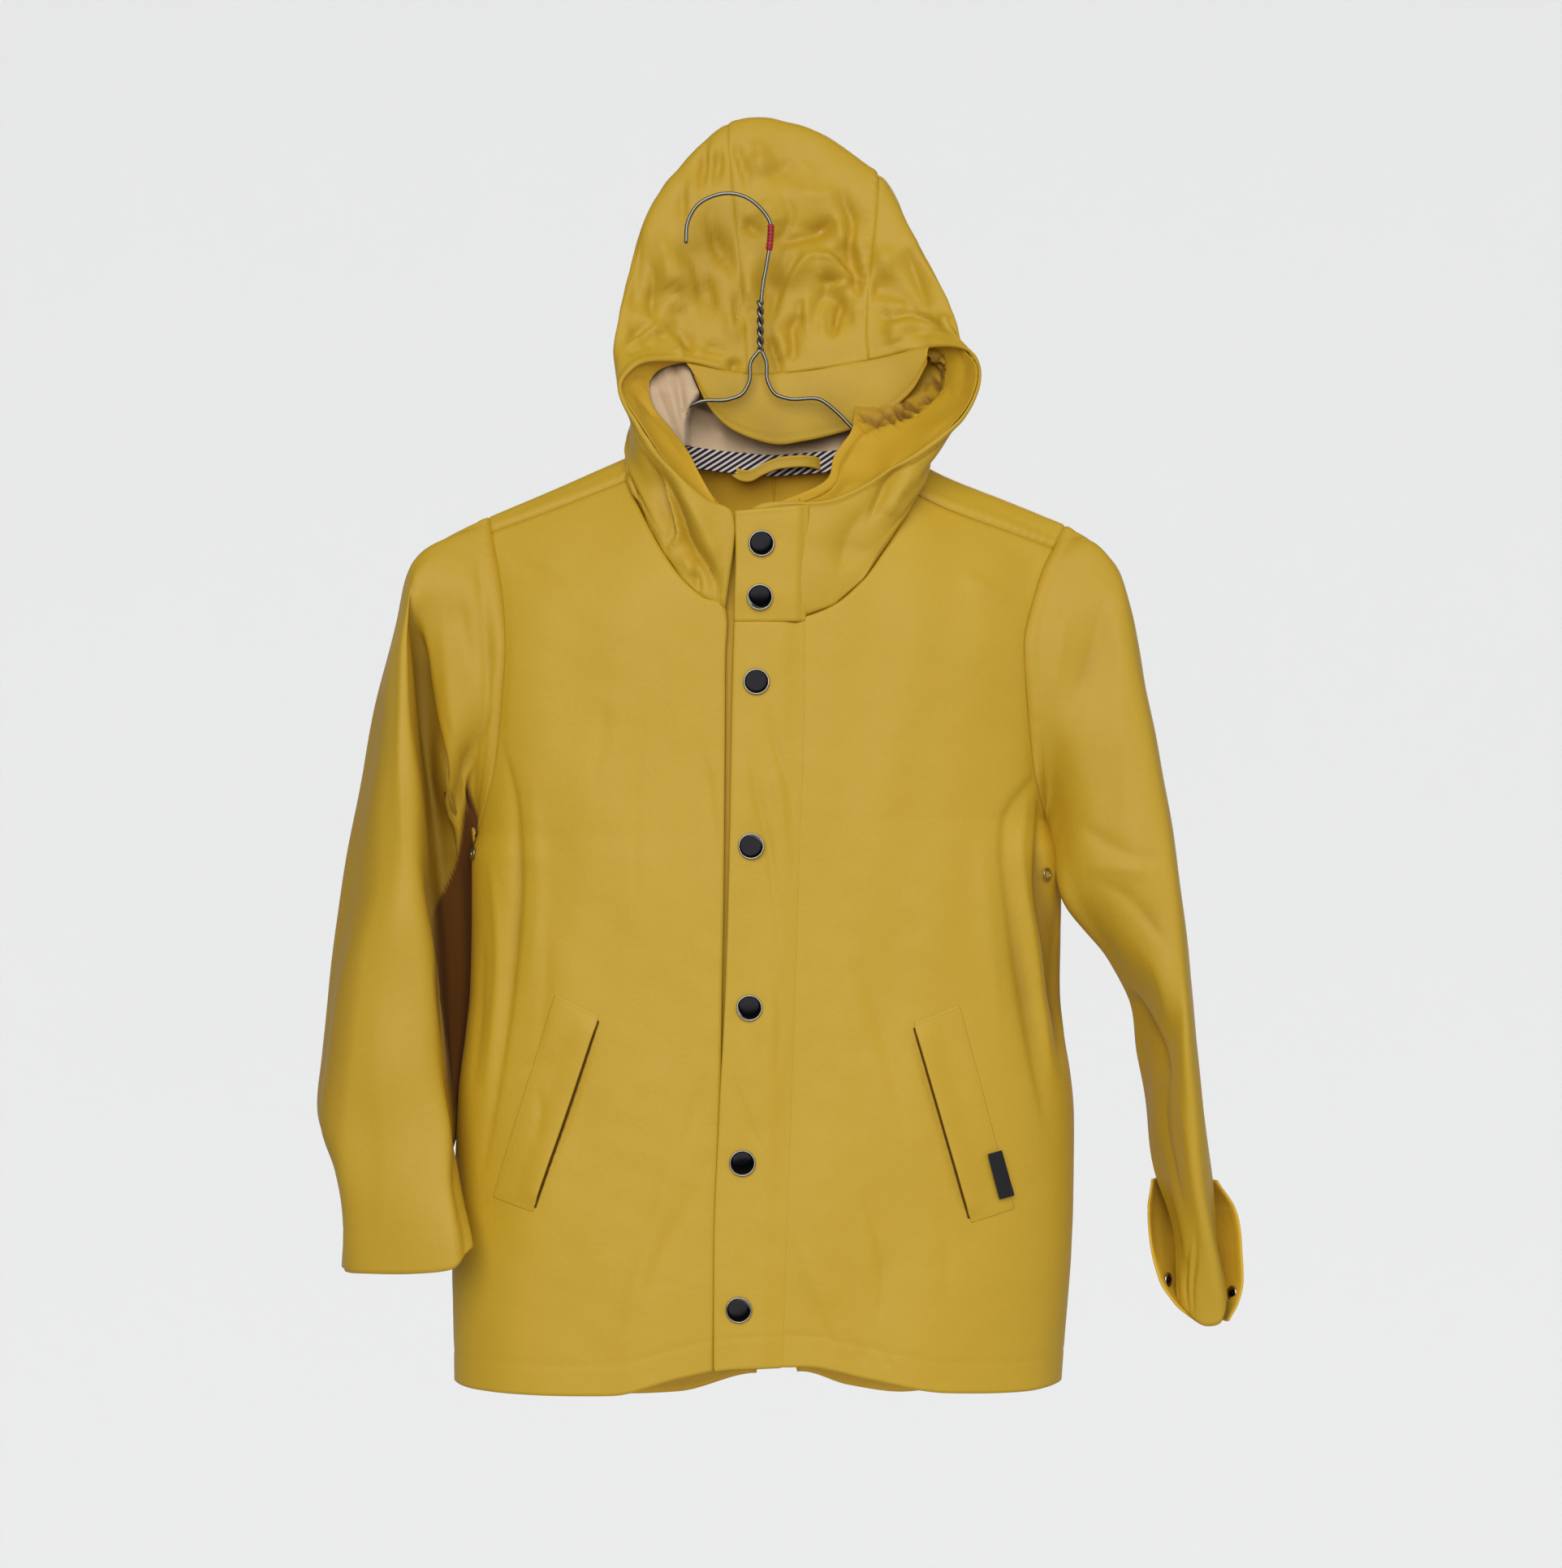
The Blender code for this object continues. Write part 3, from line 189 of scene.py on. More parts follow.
# Rings of the sleeves from just outside the armhole to the cuff. out is the upper outline, edge the front
# fold, valley the groove beside it, mid the inner front, in the underside, ridge the swell next to out.
SLEEVE_COLUMNS = (
    "out_x out_z ridge_at ridge_y edge_x edge_y edge_z valley_x valley_y valley_z "
    "mid_x mid_y mid_z in_x in_y in_z back_y"
)
SLEEVE = {
    "right": table(
        SLEEVE_COLUMNS,
        (-166, -203, 0.32, -12, -160, -22, -232, -158, -23, -252, -149, -27, -305, -149.5, 0, -381, 24),
        (-187, -219, 0.36, -16, -181, -25, -240, -177, -19, -262, -160, -25, -322, -150, 6, -385, 27),
        (-197, -254, 0.42, -26, -184.5, -33, -264, -182, -12, -282, -165, -20, -340, -148, 16, -390, 31),
        (-208, -300, 0.45, -34, -182.5, -39, -306, -181, -8, -320, -165, -13, -362, -146.5, 24, -398, 35),
        (-218, -348, 0.46, -39, -179, -42, -350, -178, -6, -360, -162, 2, -386, -145, 30, -410, 39),
        (-227, -400, 0.46, -42, -176, -44, -397, -175.5, -6, -402, -159, 14, -414, -144.5, 32, -424, 42),
        (-235, -458, 0.33, -43, -171, -46, -456, -171, -6, -458, -157, 18, -460, -146, 34, -462, 44),
        (-240, -508, 0.27, -43, -167, -47, -506, -167, -8, -507, -159, 12, -508, -152, 32, -509, 42),
        (-242, -546, 0.21, -42, -163, -50, -546, -161.8, -30, -546, -161, -12, -547, -160, 14, -547, 36),
        (-230, -575, 0.16, -43, -163, -56, -576, -158.5, -48, -577, -157.5, -32, -577, -164, -8, -577, 24),
        (-228, -602, 0.22, -43, -160, -61, -599, -153, -54, -600, -150.5, -43, -600, -160, -28, -600, 12),
        (-228.5, -633, 0.25, -43, -158, -64, -627, -150.5, -58, -619, -148, -50, -617, -157, -40, -618, 4),
    ),
    "left": table(
        SLEEVE_COLUMNS,
        (214, -205, 0.32, -12, 209, -22, -238, 206, -25, -252, 193, -28, -312, 188.0, 0, -373, 24),
        (230.5, -221, 0.32, -15, 225, -25, -252, 221, -27, -270, 204, -30, -330, 189.8, -4, -383, 28),
        (238, -246, 0.32, -18, 233, -28, -276, 228, -31, -296, 209, -31, -350, 191.5, -10, -395, 31),
        (247, -292, 0.32, -22, 241, -32, -318, 234, -35, -336, 213, -34, -376, 195, -16, -409, 34),
        (255, -336, 0.32, -26, 248, -36, -358, 240, -39, -374, 217, -35, -402, 200, -16, -420, 36),
        (262, -374, 0.32, -28, 255, -39, -392, 247, -41, -404, 226, -33, -424, 211, -10, -435, 38),
        (267, -418, 0.32, -30, 260, -41, -430, 253, -42, -438, 237, -31, -448, 225, -4, -453, 39),
        (272, -460, 0.32, -31, 265, -42, -467, 259, -41, -471, 248, -26, -476, 238, 4, -478, 40),
        (277, -502, 0.32, -32, 265, -41, -504, 259, -26, -505, 249, -6, -507, 242, 12, -509, 42),
        (281, -540, 0.35, -34, 266, -37, -541, 259, -20, -542, 252, -4, -543, 248.5, 12, -544, 42),
        (286, -580, 0.4, -33, 270, -34, -580, 263.5, -22, -581, 257.5, -6, -582, 254, 6, -582, 24),
        (289.5, -612, 0.4, -29, 277, -32, -612, 270.5, -26, -613, 265.5, -14, -614, 263, -4, -614, 14),
        (295, -650, 0.45, -20, 288, -24, -664, 281, -24, -665.5, 269.5, -17, -658, 265, -10, -652, 6),
    ),
}
# The turned-up cuff of the left sleeve, a trough open to the front: its two free ends and its back.
TURN_UP = table(
    "z right_x right_y back_y left_x left_y",
    (-583, 250.5, 10, 30, 290.5, 8),
    (-600, 247.5, -4, 25, 300, -4),
    (-620, 248.5, -12, 19, 303, -12),
    (-640, 253, -17, 13, 302.5, -16),
    (-652, 261, -18, 9, 300, -17),
    (-664, 275, -15, 6, 295, -15),
)
# Hoops of the hood at stations from the right front edge over the top to the left front edge: the face
# edge, a hoop over the brow, the crown's outline and a hoop round the back of the head.
HOOD = table(
    "rim_x rim_y rim_z brow_x brow_y brow_z crown_x crown_y crown_z back_x back_y back_z",
    (4, -53, -195, -18, -50, -220, -45, -38, -194, -59, -19, -164),
    (-12, -50, -183, -30, -47, -196, -56, -26, -170, -60, 6, -144),
    (-30, -45, -166, -43.5, -40, -167, -57, -12, -149, -56, 32, -126),
    (-51, -36, -140, -55.5, -26, -139, -59, 0, -122, -54, 46, -106),
    (-64, -24, -116, -66, -12, -111, -65.5, 12, -90, -50, 58, -80),
    (-50, -12, -99, -61, 0, -86, -58.5, 24, -46, -38, 70, -46),
    (-24, 3, -98, -34, 9, -80, -43, 33, 5, -20, 79, -21),
    (11, 8, -104.5, 10, 13, -78, -1, 40, 49, 8, 85, -6),
    (48, 9, -102, 48, 13, -78, 45, 43, 48, 44, 88, -3),
    (83, 8, -96, 82, 13, -72, 90, 37, 17.5, 80, 83, -15),
    (118, 1, -89.5, 112, 9, -64, 112, 29, -22, 98, 73, -40),
    (140, -14, -93, 131, 2, -76, 125.5, 20, -53, 107, 60, -66),
    (149, -26, -108, 142, -12, -104, 132.5, 10, -85, 113, 46, -92),
    (137, -36, -135, 134.5, -24, -135, 129, -2, -118, 116, 32, -115),
    (104, -44, -160, 116, -36, -163, 120, -14, -146, 117, 18, -135),
    (60, -50, -183, 92, -45, -190, 117, -26, -168, 117, 4, -150),
    (12, -52, -191, 56, -52, -224, 103, -38, -192, 113, -21, -170),
)
HOOD_HOOPS = (0, 3, 7, 10, 12)
BRIM = table(
    "station edge_x edge_y edge_z",
    (7.0, -20, 6, -108), (7.3, -13, 7, -122), (7.7, 0, 8, -136), (8.2, 24, 8, -145.5),
    (8.8, 45, 8, -144), (9.3, 63, 8, -140), (9.9, 84, 7, -133), (10.4, 100, 5, -123),
    (10.8, 112, 3, -110), (11.0, 117, 2, -99),
)
PLACKET = table(
    "z from_x to_x", (-254.5, 4.5, 45), (-315, 3, 44.5), (-382, 2, 42), (-460, 0, 39.5),
    (-540, -4, 37), (-620, -7, 34), (-682, -7, 32),
)
COLLAR_FLAP = table("z from_x to_x", (-190.5, 5, 47), (-215, 5.5, 46.5), (-240, 4.8, 45.5), (-253.5, 4.5, 45))
UNDERLAP = table("z from_x to_x", (-250, -9, 31), (-350, -9, 31), (-460, -10, 29), (-560, -12, 27), (-680, -15, 23))
SNAPS = table("x z", (20, -209), (19, -240), (17, -289), (14, -384), (13, -477), (9, -566), (7, -650))
# Pocket welts: the top corners and the bottom corners, slit side first.
WELT = {
    "right": table("slit_x slit_z back_x back_z", (-74, -482, -99, -470), (-112, -595, -137, -588)),
    "left": table("slit_x slit_z back_x back_z", (108, -486, 134, -476), (141, -601, 166, -594)),
}
# Wire of the hanger, in its plane.
HOOK = table(
    "x z", (-25, -28), (-24, -16), (-18, -5.5), (-8, 0), (0, 1.3), (10, -0.8), (19, -7.5), (25, -17),
    (25, -24), (23, -39), (20.5, -53), (19.3, -64),
)
ARM_RIGHT = table(
    "x z", (18.0, -92), (13.6, -98), (12.4, -110), (8, -117.5), (1, -120.4), (-17, -122), (-27, -127),
    (-38, -142), (-49, -156), (-63, -162.5), (-104, -179.5), (-144, -196.5), (-161, -205.5),
    (-171, -213.5), (-174.5, -219.5), (-171, -224.5), (-162, -226),
)
ARM_LEFT = table(
    "x z", (20.0, -92), (22.4, -98), (23.4, -110), (28, -117.5), (35, -120), (55, -121), (63, -127),
    (76, -140), (104, -161.5), (131, -172.5), (164, -185.5), (186, -194.5), (199, -202), (211, -212),
    (216, -218.5), (213, -224.5), (203, -226),
)
TWIST_TOP = -62.5
TWIST_BOTTOM = -92.0
TWIST_TURNS = 2.5
TWIST_X = 19.0


# ---------------------------------------------------------------- curves

def slopes(keys, values):
    """Tangents that keep a table's rises and falls, so a curve never overshoots its rows."""
    span = np.diff(keys)
    rise = np.diff(values) / span
    out = np.zeros(len(values))
    out[0], out[-1] = rise[0], rise[-1]
    same = rise[:-1] * rise[1:] > 0
    weight_a = 2 * span[1:] + span[:-1]
    weight_b = span[1:] + 2 * span[:-1]
    with np.errstate(divide="ignore", invalid="ignore"):
        mean = (weight_a + weight_b) / (weight_a / rise[:-1] + weight_b / rise[1:])
    out[1:-1][same] = mean[same]
    return out


def hermite(keys, values, tangents, at):
    """Cubic pieces through values, each with its tangent."""
    i = np.clip(np.searchsorted(keys, at, side="right") - 1, 0, len(keys) - 2)
    spread = (...,) + (None,) * (values.ndim - 1)
    width = np.asarray(keys[i + 1] - keys[i])[spread]
    t = np.asarray(at - keys[i])[spread] / width
    return (
        values[i] * (1 + 2 * t) * (1 - t) ** 2 + values[i + 1] * t * t * (3 - 2 * t)
        + tangents[i] * width * t * (1 - t) ** 2 - tangents[i + 1] * width * t * t * (1 - t)
    )


def lookup(rows, key, name, at):
    """Smooth value of a table's column at any key."""
    keys, values = rows[key], rows[name]
    if keys[0] > keys[-1]:
        keys, values = keys[::-1], values[::-1]
    return hermite(keys, values, slopes(keys, values), np.clip(np.asarray(at, float), keys[0], keys[-1]))


def line_at(rows, z):
    return lookup(rows, "z", "x", z)


def cubic(keys, points, at):
    """Smooth curve through points, or grids of them, given at keys."""
    keys, points = np.asarray(keys, float), np.asarray(points, float)
    return hermite(keys, points, np.gradient(points, keys, axis=0), np.atleast_1d(np.asarray(at, float)))


def run_along(points):
    """Distance along each column of points."""
    steps = np.linalg.norm(np.diff(points, axis=0), axis=-1)
    return np.concatenate([np.zeros_like(steps[:1]), np.cumsum(steps, axis=0)])


def along(points, share):
    """Point of a smooth path at a share of its length."""
    length = run_along(points)
    return cubic(length, points, np.asarray(share) * length[-1])


def bezier(start, bend, end, t):
    return start * (1 - t) ** 2 + bend * 2 * t * (1 - t) + end * t ** 2


def unit(vectors):
    return vectors / np.maximum(np.linalg.norm(vectors, axis=-1, keepdims=True), 1e-9)


def smooth(value, low, high):
    """0 below low, 1 above high, eased between."""
    t = np.clip((value - low) / (high - low), 0, 1)
    return t * t * (3 - 2 * t)


def fade(value, low, high):
    return 1 - smooth(value, low, high)


def band(value, low, full, waning, high):
    """1 between full and waning, eased to 0 at low and at high."""
    return smooth(value, low, full) * fade(value, waning, high)


def bell(distance, width):
    return np.exp(-(distance / width) ** 2)


# ---------------------------------------------------------------- the body's form

def ridge_height(x):
    return lookup(RIDGE, "x", "z", x)


def body_depth(x, z, back):
    """Distance of the front or the back from the plane of the hanger."""
    left, right = lookup(BODY, "z", "left", z), lookup(BODY, "z", "right", z)
    depth = np.where(back, lookup(BODY, "z", "back", z), lookup(BODY, "z", "front", z))
    across = np.clip(np.abs(x - (left + right) / 2) / ((right - left) / 2), 0, 1)
    fall = np.clip((ridge_height(x) - z) / np.where(back, CLOSE_BACK, CLOSE_FRONT), 0, 1)
    return depth * np.sqrt(1 - across ** FORM_POWER) * np.sin(fall * math.pi / 2) ** SHOULDER_POWER


def body_point(x, z, back):
    x, z, back = np.broadcast_arrays(np.asarray(x, float), np.asarray(z, float), np.asarray(back, bool))
    return np.stack([x, body_depth(x, z, back) * np.where(back, 1, -1), z], axis=-1)


def body_normal(points, back):
    """Outward direction of the body's form, steady across the ridge and the sides."""
    x, y, z = points[..., 0], points[..., 1], points[..., 2]
    step = 0.4

    def slope(step_x, step_z):
        before, after = body_depth(x - step_x, z - step_z, back), body_depth(x + step_x, z + step_z, back)
        return -(after ** 2 - before ** 2) / (2 * step)

    return unit(np.stack([slope(step, 0), 2 * y, slope(0, step)], axis=-1) + np.array([0, 0, 1e-3]))


def body_rows(inner, outer, shares, back):
    """Rows of points on the body between ends (x, drop); a drop below 0 lies beyond the ridge."""
    (x_from, drop_from), (x_to, drop_to) = inner.T[..., None], outer.T[..., None]
    x = x_from + (x_to - x_from) * shares
    drop = drop_from + (drop_to - drop_from) * shares
    z_from, z_to = ridge_height(x_from) - np.abs(drop_from), ridge_height(x_to) - np.abs(drop_to)
    follow = np.clip((70 - np.abs(drop)) / 45, 0, 1)
    z = (z_from + (z_to - z_from) * shares) * (1 - follow) + (ridge_height(x) - np.abs(drop)) * follow
    facing_back = (drop >= 0) == back
    points = body_point(x, z, facing_back)
    return points, body_normal(points, facing_back)


def armhole_ends(side, turns):
    """(x, drop) along the armhole; a turn past 1 comes down again beyond the ridge."""
    beyond = turns > 1
    x, z = along(stacked(ARMHOLE[side], "x", "z"), np.where(beyond, 2 - turns, turns)).T
    drop = ridge_height(x) - z
    return np.stack([x, np.where(beyond, -drop, drop)], axis=-1)


def front_stops(side):
    return np.array(FRONT_STOPS) * SEAM_STOP[side] / SEAM_STOP["right"]


def beyond_stops(side):
    """The two stops between the ridge and the shoulder seam."""
    return (1 + SEAM_STOP[side]) / 2 + 0.005, SEAM_STOP[side]


def armhole_ring(side):
    """The armhole as a ring: from the ridge down the front, under the arm and up the back."""
    front = [*front_stops(side), beyond_stops(side)[0], 1.0][::-1]
    x, drop = armhole_ends(side, np.array([*front, *BACK_STOPS[1:-1]])).T
    points = body_point(x, ridge_height(x) - drop, np.arange(len(x)) >= len(front))
    points[len(front) - 1, 1] = 0.0
    return points


def sleeve_rings(side):
    """Rings of 25 points through the stations of each row."""
    rows = SLEEVE[side]
    out, edge, valley, mid, under = (spots(rows, name) for name in ("out", "edge", "valley", "mid", "in"))
    swell = out + (edge - out) * 0.14
    swell[:, 0] = out[:, 0] + (edge - out)[:, 0] * rows["ridge_at"]
    near, far = under + (out - under) * 0.36, under + (out - under) * 0.72
    swell[:, 1], near[:, 1], far[:, 1] = rows["ridge_y"], rows["back_y"], rows["back_y"] * 0.86
    front = cubic([0, 3, 5, 6, 9, 12], [out, swell, edge, valley, mid, under], np.arange(13))
    back = cubic([12, 17, 21, 25], [under, near, far, out], np.arange(13, 25))
    return np.concatenate([front, back]).swapaxes(0, 1)


def neck_front_points(side):
    return body_point(NECK_FRONT[side]["x"], NECK_FRONT[side]["z"], False)


def neck_back_points(side):
    x, drop = NECK_BACK[side]["x"], NECK_BACK[side]["drop"]
    return body_point(x, ridge_height(x) - np.abs(drop), drop >= 0)


def hood_grid(stations, rows):
    """Points of the hood; the stations at both ends run up the front necklines."""
    nape = np.concatenate([neck_back_points("right")[::-1], neck_back_points("left")[1:]])[1:-1]
    hoops = [spots(HOOD, name) for name in ("rim", "brow", "crown", "back")] + [nape]
    i = np.minimum((rows / 2).astype(int), 5)
    share = (rows / 2 - i)[:, None]
    ends = [neck[i] + (neck[i + 1] - neck[i]) * share for neck in map(neck_front_points, SIDES)]
    points = np.concatenate([ends[0][:, None], cubic(HOOD_HOOPS, hoops, rows), ends[1][:, None]], axis=1)
    grid = cubic(np.arange(19), points.swapaxes(0, 1), stations).swapaxes(0, 1)
    low = np.floor(stations).astype(int).clip(0, 17)
    share = (stations - low)[:, None]
    at_nape = (rows == HOOD_HOOPS[-1])[:, None, None]
    return np.where(at_nape, points[:, low] * (1 - share) + points[:, low + 1] * share, grid)


def grid_normals(grid, closed=False):
    """Directions across a grid of points, chosen to point out of the garment."""
    if closed:
        across = (np.roll(grid, -1, axis=1) - np.roll(grid, 1, axis=1)) / 2
    else:
        across = np.gradient(grid, axis=1)
    normals = unit(np.cross(np.gradient(grid, axis=0), across))
    outward = np.sum(normals * (grid - grid.mean(axis=1, keepdims=True)))
    return -normals if outward < 0 else normals


# ---------------------------------------------------------------- fine grids

def even(grid, spacing, closed=False):
    """The same surface with its rows and columns about one spacing apart."""
    for axis in (0, 1):
        samples = np.moveaxis(grid, axis, 0)
        looped = closed and axis == 1
        if looped:
            samples = np.concatenate([samples, samples[:1]])
        steps = np.linalg.norm(np.diff(samples[..., :3], axis=0), axis=-1)
        keys = np.concatenate([[0.0], np.cumsum(steps.mean(axis=1))])
        at = np.linspace(0, keys[-1], max(int(round(keys[-1] / spacing)), 2) + 1)
        if looped:
            at = at[:-1]
        i = np.clip(np.searchsorted(keys, at, side="right") - 1, 0, len(keys) - 2)
        share = ((at - keys[i]) / np.maximum(keys[i + 1] - keys[i], 1e-9))[:, None, None]
        grid = np.moveaxis(samples[i] * (1 - share) + samples[i + 1] * share, 0, axis)
    return grid


def body_panel(side, back, spacing):
    """Points and directions of a front or a back, in rows from the hem up."""
    edges = (BACK_EDGE if back else FRONT_EDGE)[side]
    shares = 1 - (1 - np.linspace(0, 1, 80)) ** 1.7
    outer_name = "left" if side == "right" else "right"
    levels = np.linspace(HEM_LEVEL, LOW_ROWS_TOP, 94)[:, None]
    inner, outer = line_at(edges, levels), lookup(BODY, "z", outer_name, levels)
    x = inner + (outer - inner) * shares
    bend = np.maximum((HEM_BEND_TOP - levels) / (HEM_BEND_TOP - HEM_LEVEL), 0) ** 3
    z = levels + (lookup(HEM_BACK if back else HEM_FRONT, "x", "z", x) - HEM_LEVEL) * bend
    low = body_point(x, z, back)
    low[:, -1, 0] = lookup(BODY, "z", outer_name, z[:, -1])
    low[:, -1, 1] = 0.0
    if back:
        ends = [(CENTRE_BACK, ridge_height(CENTRE_BACK) - z) for z in SHOULDER_BLADE_LEVELS]
        ends = np.concatenate([ends, stacked(NECK_BACK[side], "x", "drop")])
        turns = [*BACK_STOPS, *(2 - stop for stop in beyond_stops(side))]
    else:
        ends = [(line_at(edges, z), z) for z in CHEST_LEVELS[side]]
        ends = np.concatenate([ends, stacked(NECK_FRONT[side], "x", "z")])
        turns = front_stops(side)
    at = np.linspace(0, len(ends) - 1, 12 * len(ends))
    inner = cubic(np.arange(len(ends)), ends, at)
    if not back:
        inner[:, 1] = ridge_height(inner[:, 0]) - inner[:, 1]
    outer = armhole_ends(side, np.interp(at, np.arange(len(ends)), turns))
    high, high_normals = body_rows(inner, outer, shares, back)
    both = [np.concatenate([low, high]), np.concatenate([body_normal(low, back), high_normals])]
    both = even(np.concatenate(both, axis=2), spacing)
    return both[..., :3], unit(both[..., 3:])


def sleeve_panel(side, spacing):
    """Points and directions of a sleeve, in rings from the armhole to the cuff."""
    rings = np.concatenate([armhole_ring(side)[None], sleeve_rings(side)])
    fine = cubic(np.arange(len(rings)), rings, np.linspace(0, len(rings) - 1, 150))
    padded = np.concatenate([fine[:, -3:], fine, fine[:, :4]], axis=1).swapaxes(0, 1)
    around = cubic(np.arange(-3, 29), padded, np.linspace(0, 25, 201)[:-1])
    grid = even(around.swapaxes(0, 1), spacing, closed=True)
    normals = grid_normals(grid, closed=True)
    body = body_normal(grid[0], grid[0][:, 1] > 0)
    turned_rows = 8
    for i in range(turned_rows):
        share = 1 - i / turned_rows
        normals[i] = unit(normals[i] * (1 - share) + body * share)
    return grid, normals


def hood_panel(first, last, spacing, rows=(0.0, 12.0)):
    """Points, directions, stations and rows of the hood between two stations."""
    stations, downs = np.linspace(0, 18, 181), np.linspace(0, 12, 121)
    grid = hood_grid(stations, downs)
    normals = grid_normals(grid)
    for i in (0, -1):
        normals[:, i] = unit(normals[:, i] + body_normal(grid[:, i], False))
    both = np.concatenate([grid, normals, np.stack(np.meshgrid(stations, downs), axis=-1)], axis=2)
    top, bottom = int(round(rows[0] * 10)), int(round(rows[1] * 10))
    both = even(both[top:bottom + 1, int(first * 10):int(last * 10) + 1], spacing)
    return both[..., :3], unit(both[..., 3:6]), both[..., 6], both[..., 7]


# ---------------------------------------------------------------- relief

def seen_from_front(points):
    """Where points show on the plane y = 0 from the camera's place: x and z."""
    grow = CAMERA_DISTANCE / (CAMERA_DISTANCE + points[..., 1])
    x = VIEW_CENTRE[0] + (points[..., 0] - VIEW_CENTRE[0]) * grow
    return x, VIEW_CENTRE[2] + (points[..., 2] - VIEW_CENTRE[2]) * grow


def placed(seen, y):
    """The point at depth y that shows at (x, z) on the plane y = 0."""
    grow = (CAMERA_DISTANCE + y) / CAMERA_DISTANCE
    x = VIEW_CENTRE[0] + (seen[..., 0] - VIEW_CENTRE[0]) * grow
    return np.stack([x, y, VIEW_CENTRE[2] + (seen[..., 1] - VIEW_CENTRE[2]) * grow], axis=-1)


def raised(points, normals, height):
    return points + normals * height[..., None]


def edge_distances(grid, closed=False):
    """Distances along the cloth from the first and last row and the first and last column."""
    first = run_along(grid)
    left = np.full(grid.shape[:2], 1e6) if closed else run_along(grid.swapaxes(0, 1)).T
    return first, first[-1:] - first, left, left if closed else left[:, -1:] - left


def noise(x, z, size, seed):
    """Soft random hills of one size, between about -1 and 1."""
    rng = np.random.default_rng(seed)
    total = np.zeros(np.shape(x))
    for _ in range(14):
        angle = rng.uniform(0, 2 * math.pi)
        wave = 2 * math.pi / (size * rng.uniform(0.7, 1.5))
        phase = rng.uniform(0, 2 * math.pi)
        total = total + np.sin((x * math.cos(angle) + z * math.sin(angle)) * wave + phase)
    return total / 3.7


def creases(x, z, rows, seed=0, widen=1.0, crisp=False):
    """Sum of creases. A row is its half width, height (below 0 is a trough) and lean, then its path's x, z pairs.

    lean makes the side to the right of the path's direction steeper (above 0) or softer (below 0).
    crisp ones come to a sharp line with flat flanks.
    """
    total = np.zeros(x.shape)
    for number, (width, height, lean, *path) in enumerate(rows):
        path = np.reshape(path, (-1, 2))
        line = along(path, np.linspace(0, 1, 14 if len(path) < 4 else 26))
        reach = 3.6 * width * widen * (1 + abs(lean))
        (low_x, low_z), (high_x, high_z) = line.min(axis=0) - reach, line.max(axis=0) + reach
        near = (x > low_x) & (x < high_x) & (z > low_z) & (z < high_z)
        if not near.any():
            continue
        start, step = line[:-1], np.diff(line, axis=0)
        rel = np.stack([x[near], z[near]], axis=-1)[:, None] - start[None]
        share = np.clip((rel * step[None]).sum(axis=2) / np.maximum((step ** 2).sum(axis=1), 1e-9), 0, 1)
        off = rel - share[..., None] * step[None]
        apart = (off ** 2).sum(axis=2)
        best = apart.argmin(axis=1)
        pick = np.arange(len(best))
        chosen, moved = step[best], off[pick, best]
        side = np.sign(chosen[:, 1] * moved[:, 0] - chosen[:, 0] * moved[:, 1])
        t = (best + share[pick, best]) / len(start)
        wobble = 1 + 0.16 * np.sin(6.3 * t + number + seed) + 0.05 * np.sin(14.9 * t + 2 * number)
        span = width * widen * wobble * np.where(side > 0, 1 - lean, 1 + lean) * (0.55 + 0.45 * np.sin(math.pi * t))
        distance = np.sqrt(apart[pick, best]) / np.maximum(span, 0.3)
        taper = np.sin(math.pi * np.clip(t, 0.02, 0.98)) ** 0.7
        if crisp:
            form = np.exp(-1.15 * (np.sqrt(distance ** 2 + 0.06) - 0.245))
        else:
            form = (1 + distance ** 2) ** -1.6
        total[near] += height * taper * wobble * form * np.exp(-(distance / 3.2) ** 4)
    return total


def seam(distance, depth=1.0, width=1.4):
    """Cloth turning down into a seam."""
    return -depth * bell(distance, width)


def allowance(distance, reach=7.0, height=0.4):
    """The swell over a seam's turned-in cloth."""
    return height * band(distance, 0.3, 2.2, reach - 1.2, reach + 1.2)


def ladder(distance, run, start, stop, pitch=7.5, height=0.5):
    """Rungs of gathered allowance beside a seam, between two places along it."""
    rung = (0.5 + 0.5 * np.cos(2 * math.pi * run / pitch)) ** 3
    return height * rung * band(distance, 0.7, 2.3, 5.7, 7.3) * band(run, start, start + 4, stop - 4, stop)


def stitch_groove(distance, at, depth=0.28, width=1.1):
    return seam(distance - at, depth, width)


def body_relief(points, back):
    """Height of the soft folds on the body at its base points."""
    x, z = seen_from_front(points)
    total = creases(x, z, BACK_CREASES if back else FRONT_CREASES, seed=3 if back else 0)
    drape = noise(x * 1.9, z * 0.55, 90.0, 11 if back else 5) * 0.8 + noise(x, z, 26.0, 12) * 0.10
    return total + drape * smooth(ridge_height(x) - z, 4, 40)


# ---------------------------------------------------------------- meshes

def make_mesh(name, vertices, faces, solid=True):
    """A mesh object from points in millimetres; a solid one is shaded smooth and turned right side out."""
    mesh = bpy.data.meshes.new(name)
    mesh.from_pydata((np.asarray(vertices, float) * MM).tolist(), [], faces)
    mesh.validate()
    piece = bpy.data.objects.new(name, mesh)
    bpy.context.scene.collection.objects.link(piece)
    if solid:
        mesh.shade_smooth()
        mesh.calc_loop_triangles()
        corners = np.zeros(len(mesh.loop_triangles) * 3, np.int32)
        mesh.loop_triangles.foreach_get("vertices", corners)
        a, b, c = np.asarray(vertices)[corners.reshape(-1, 3)].swapaxes(0, 1)
        if (a * np.cross(b, c)).sum() < 0:
            mesh.flip_normals()
    return piece


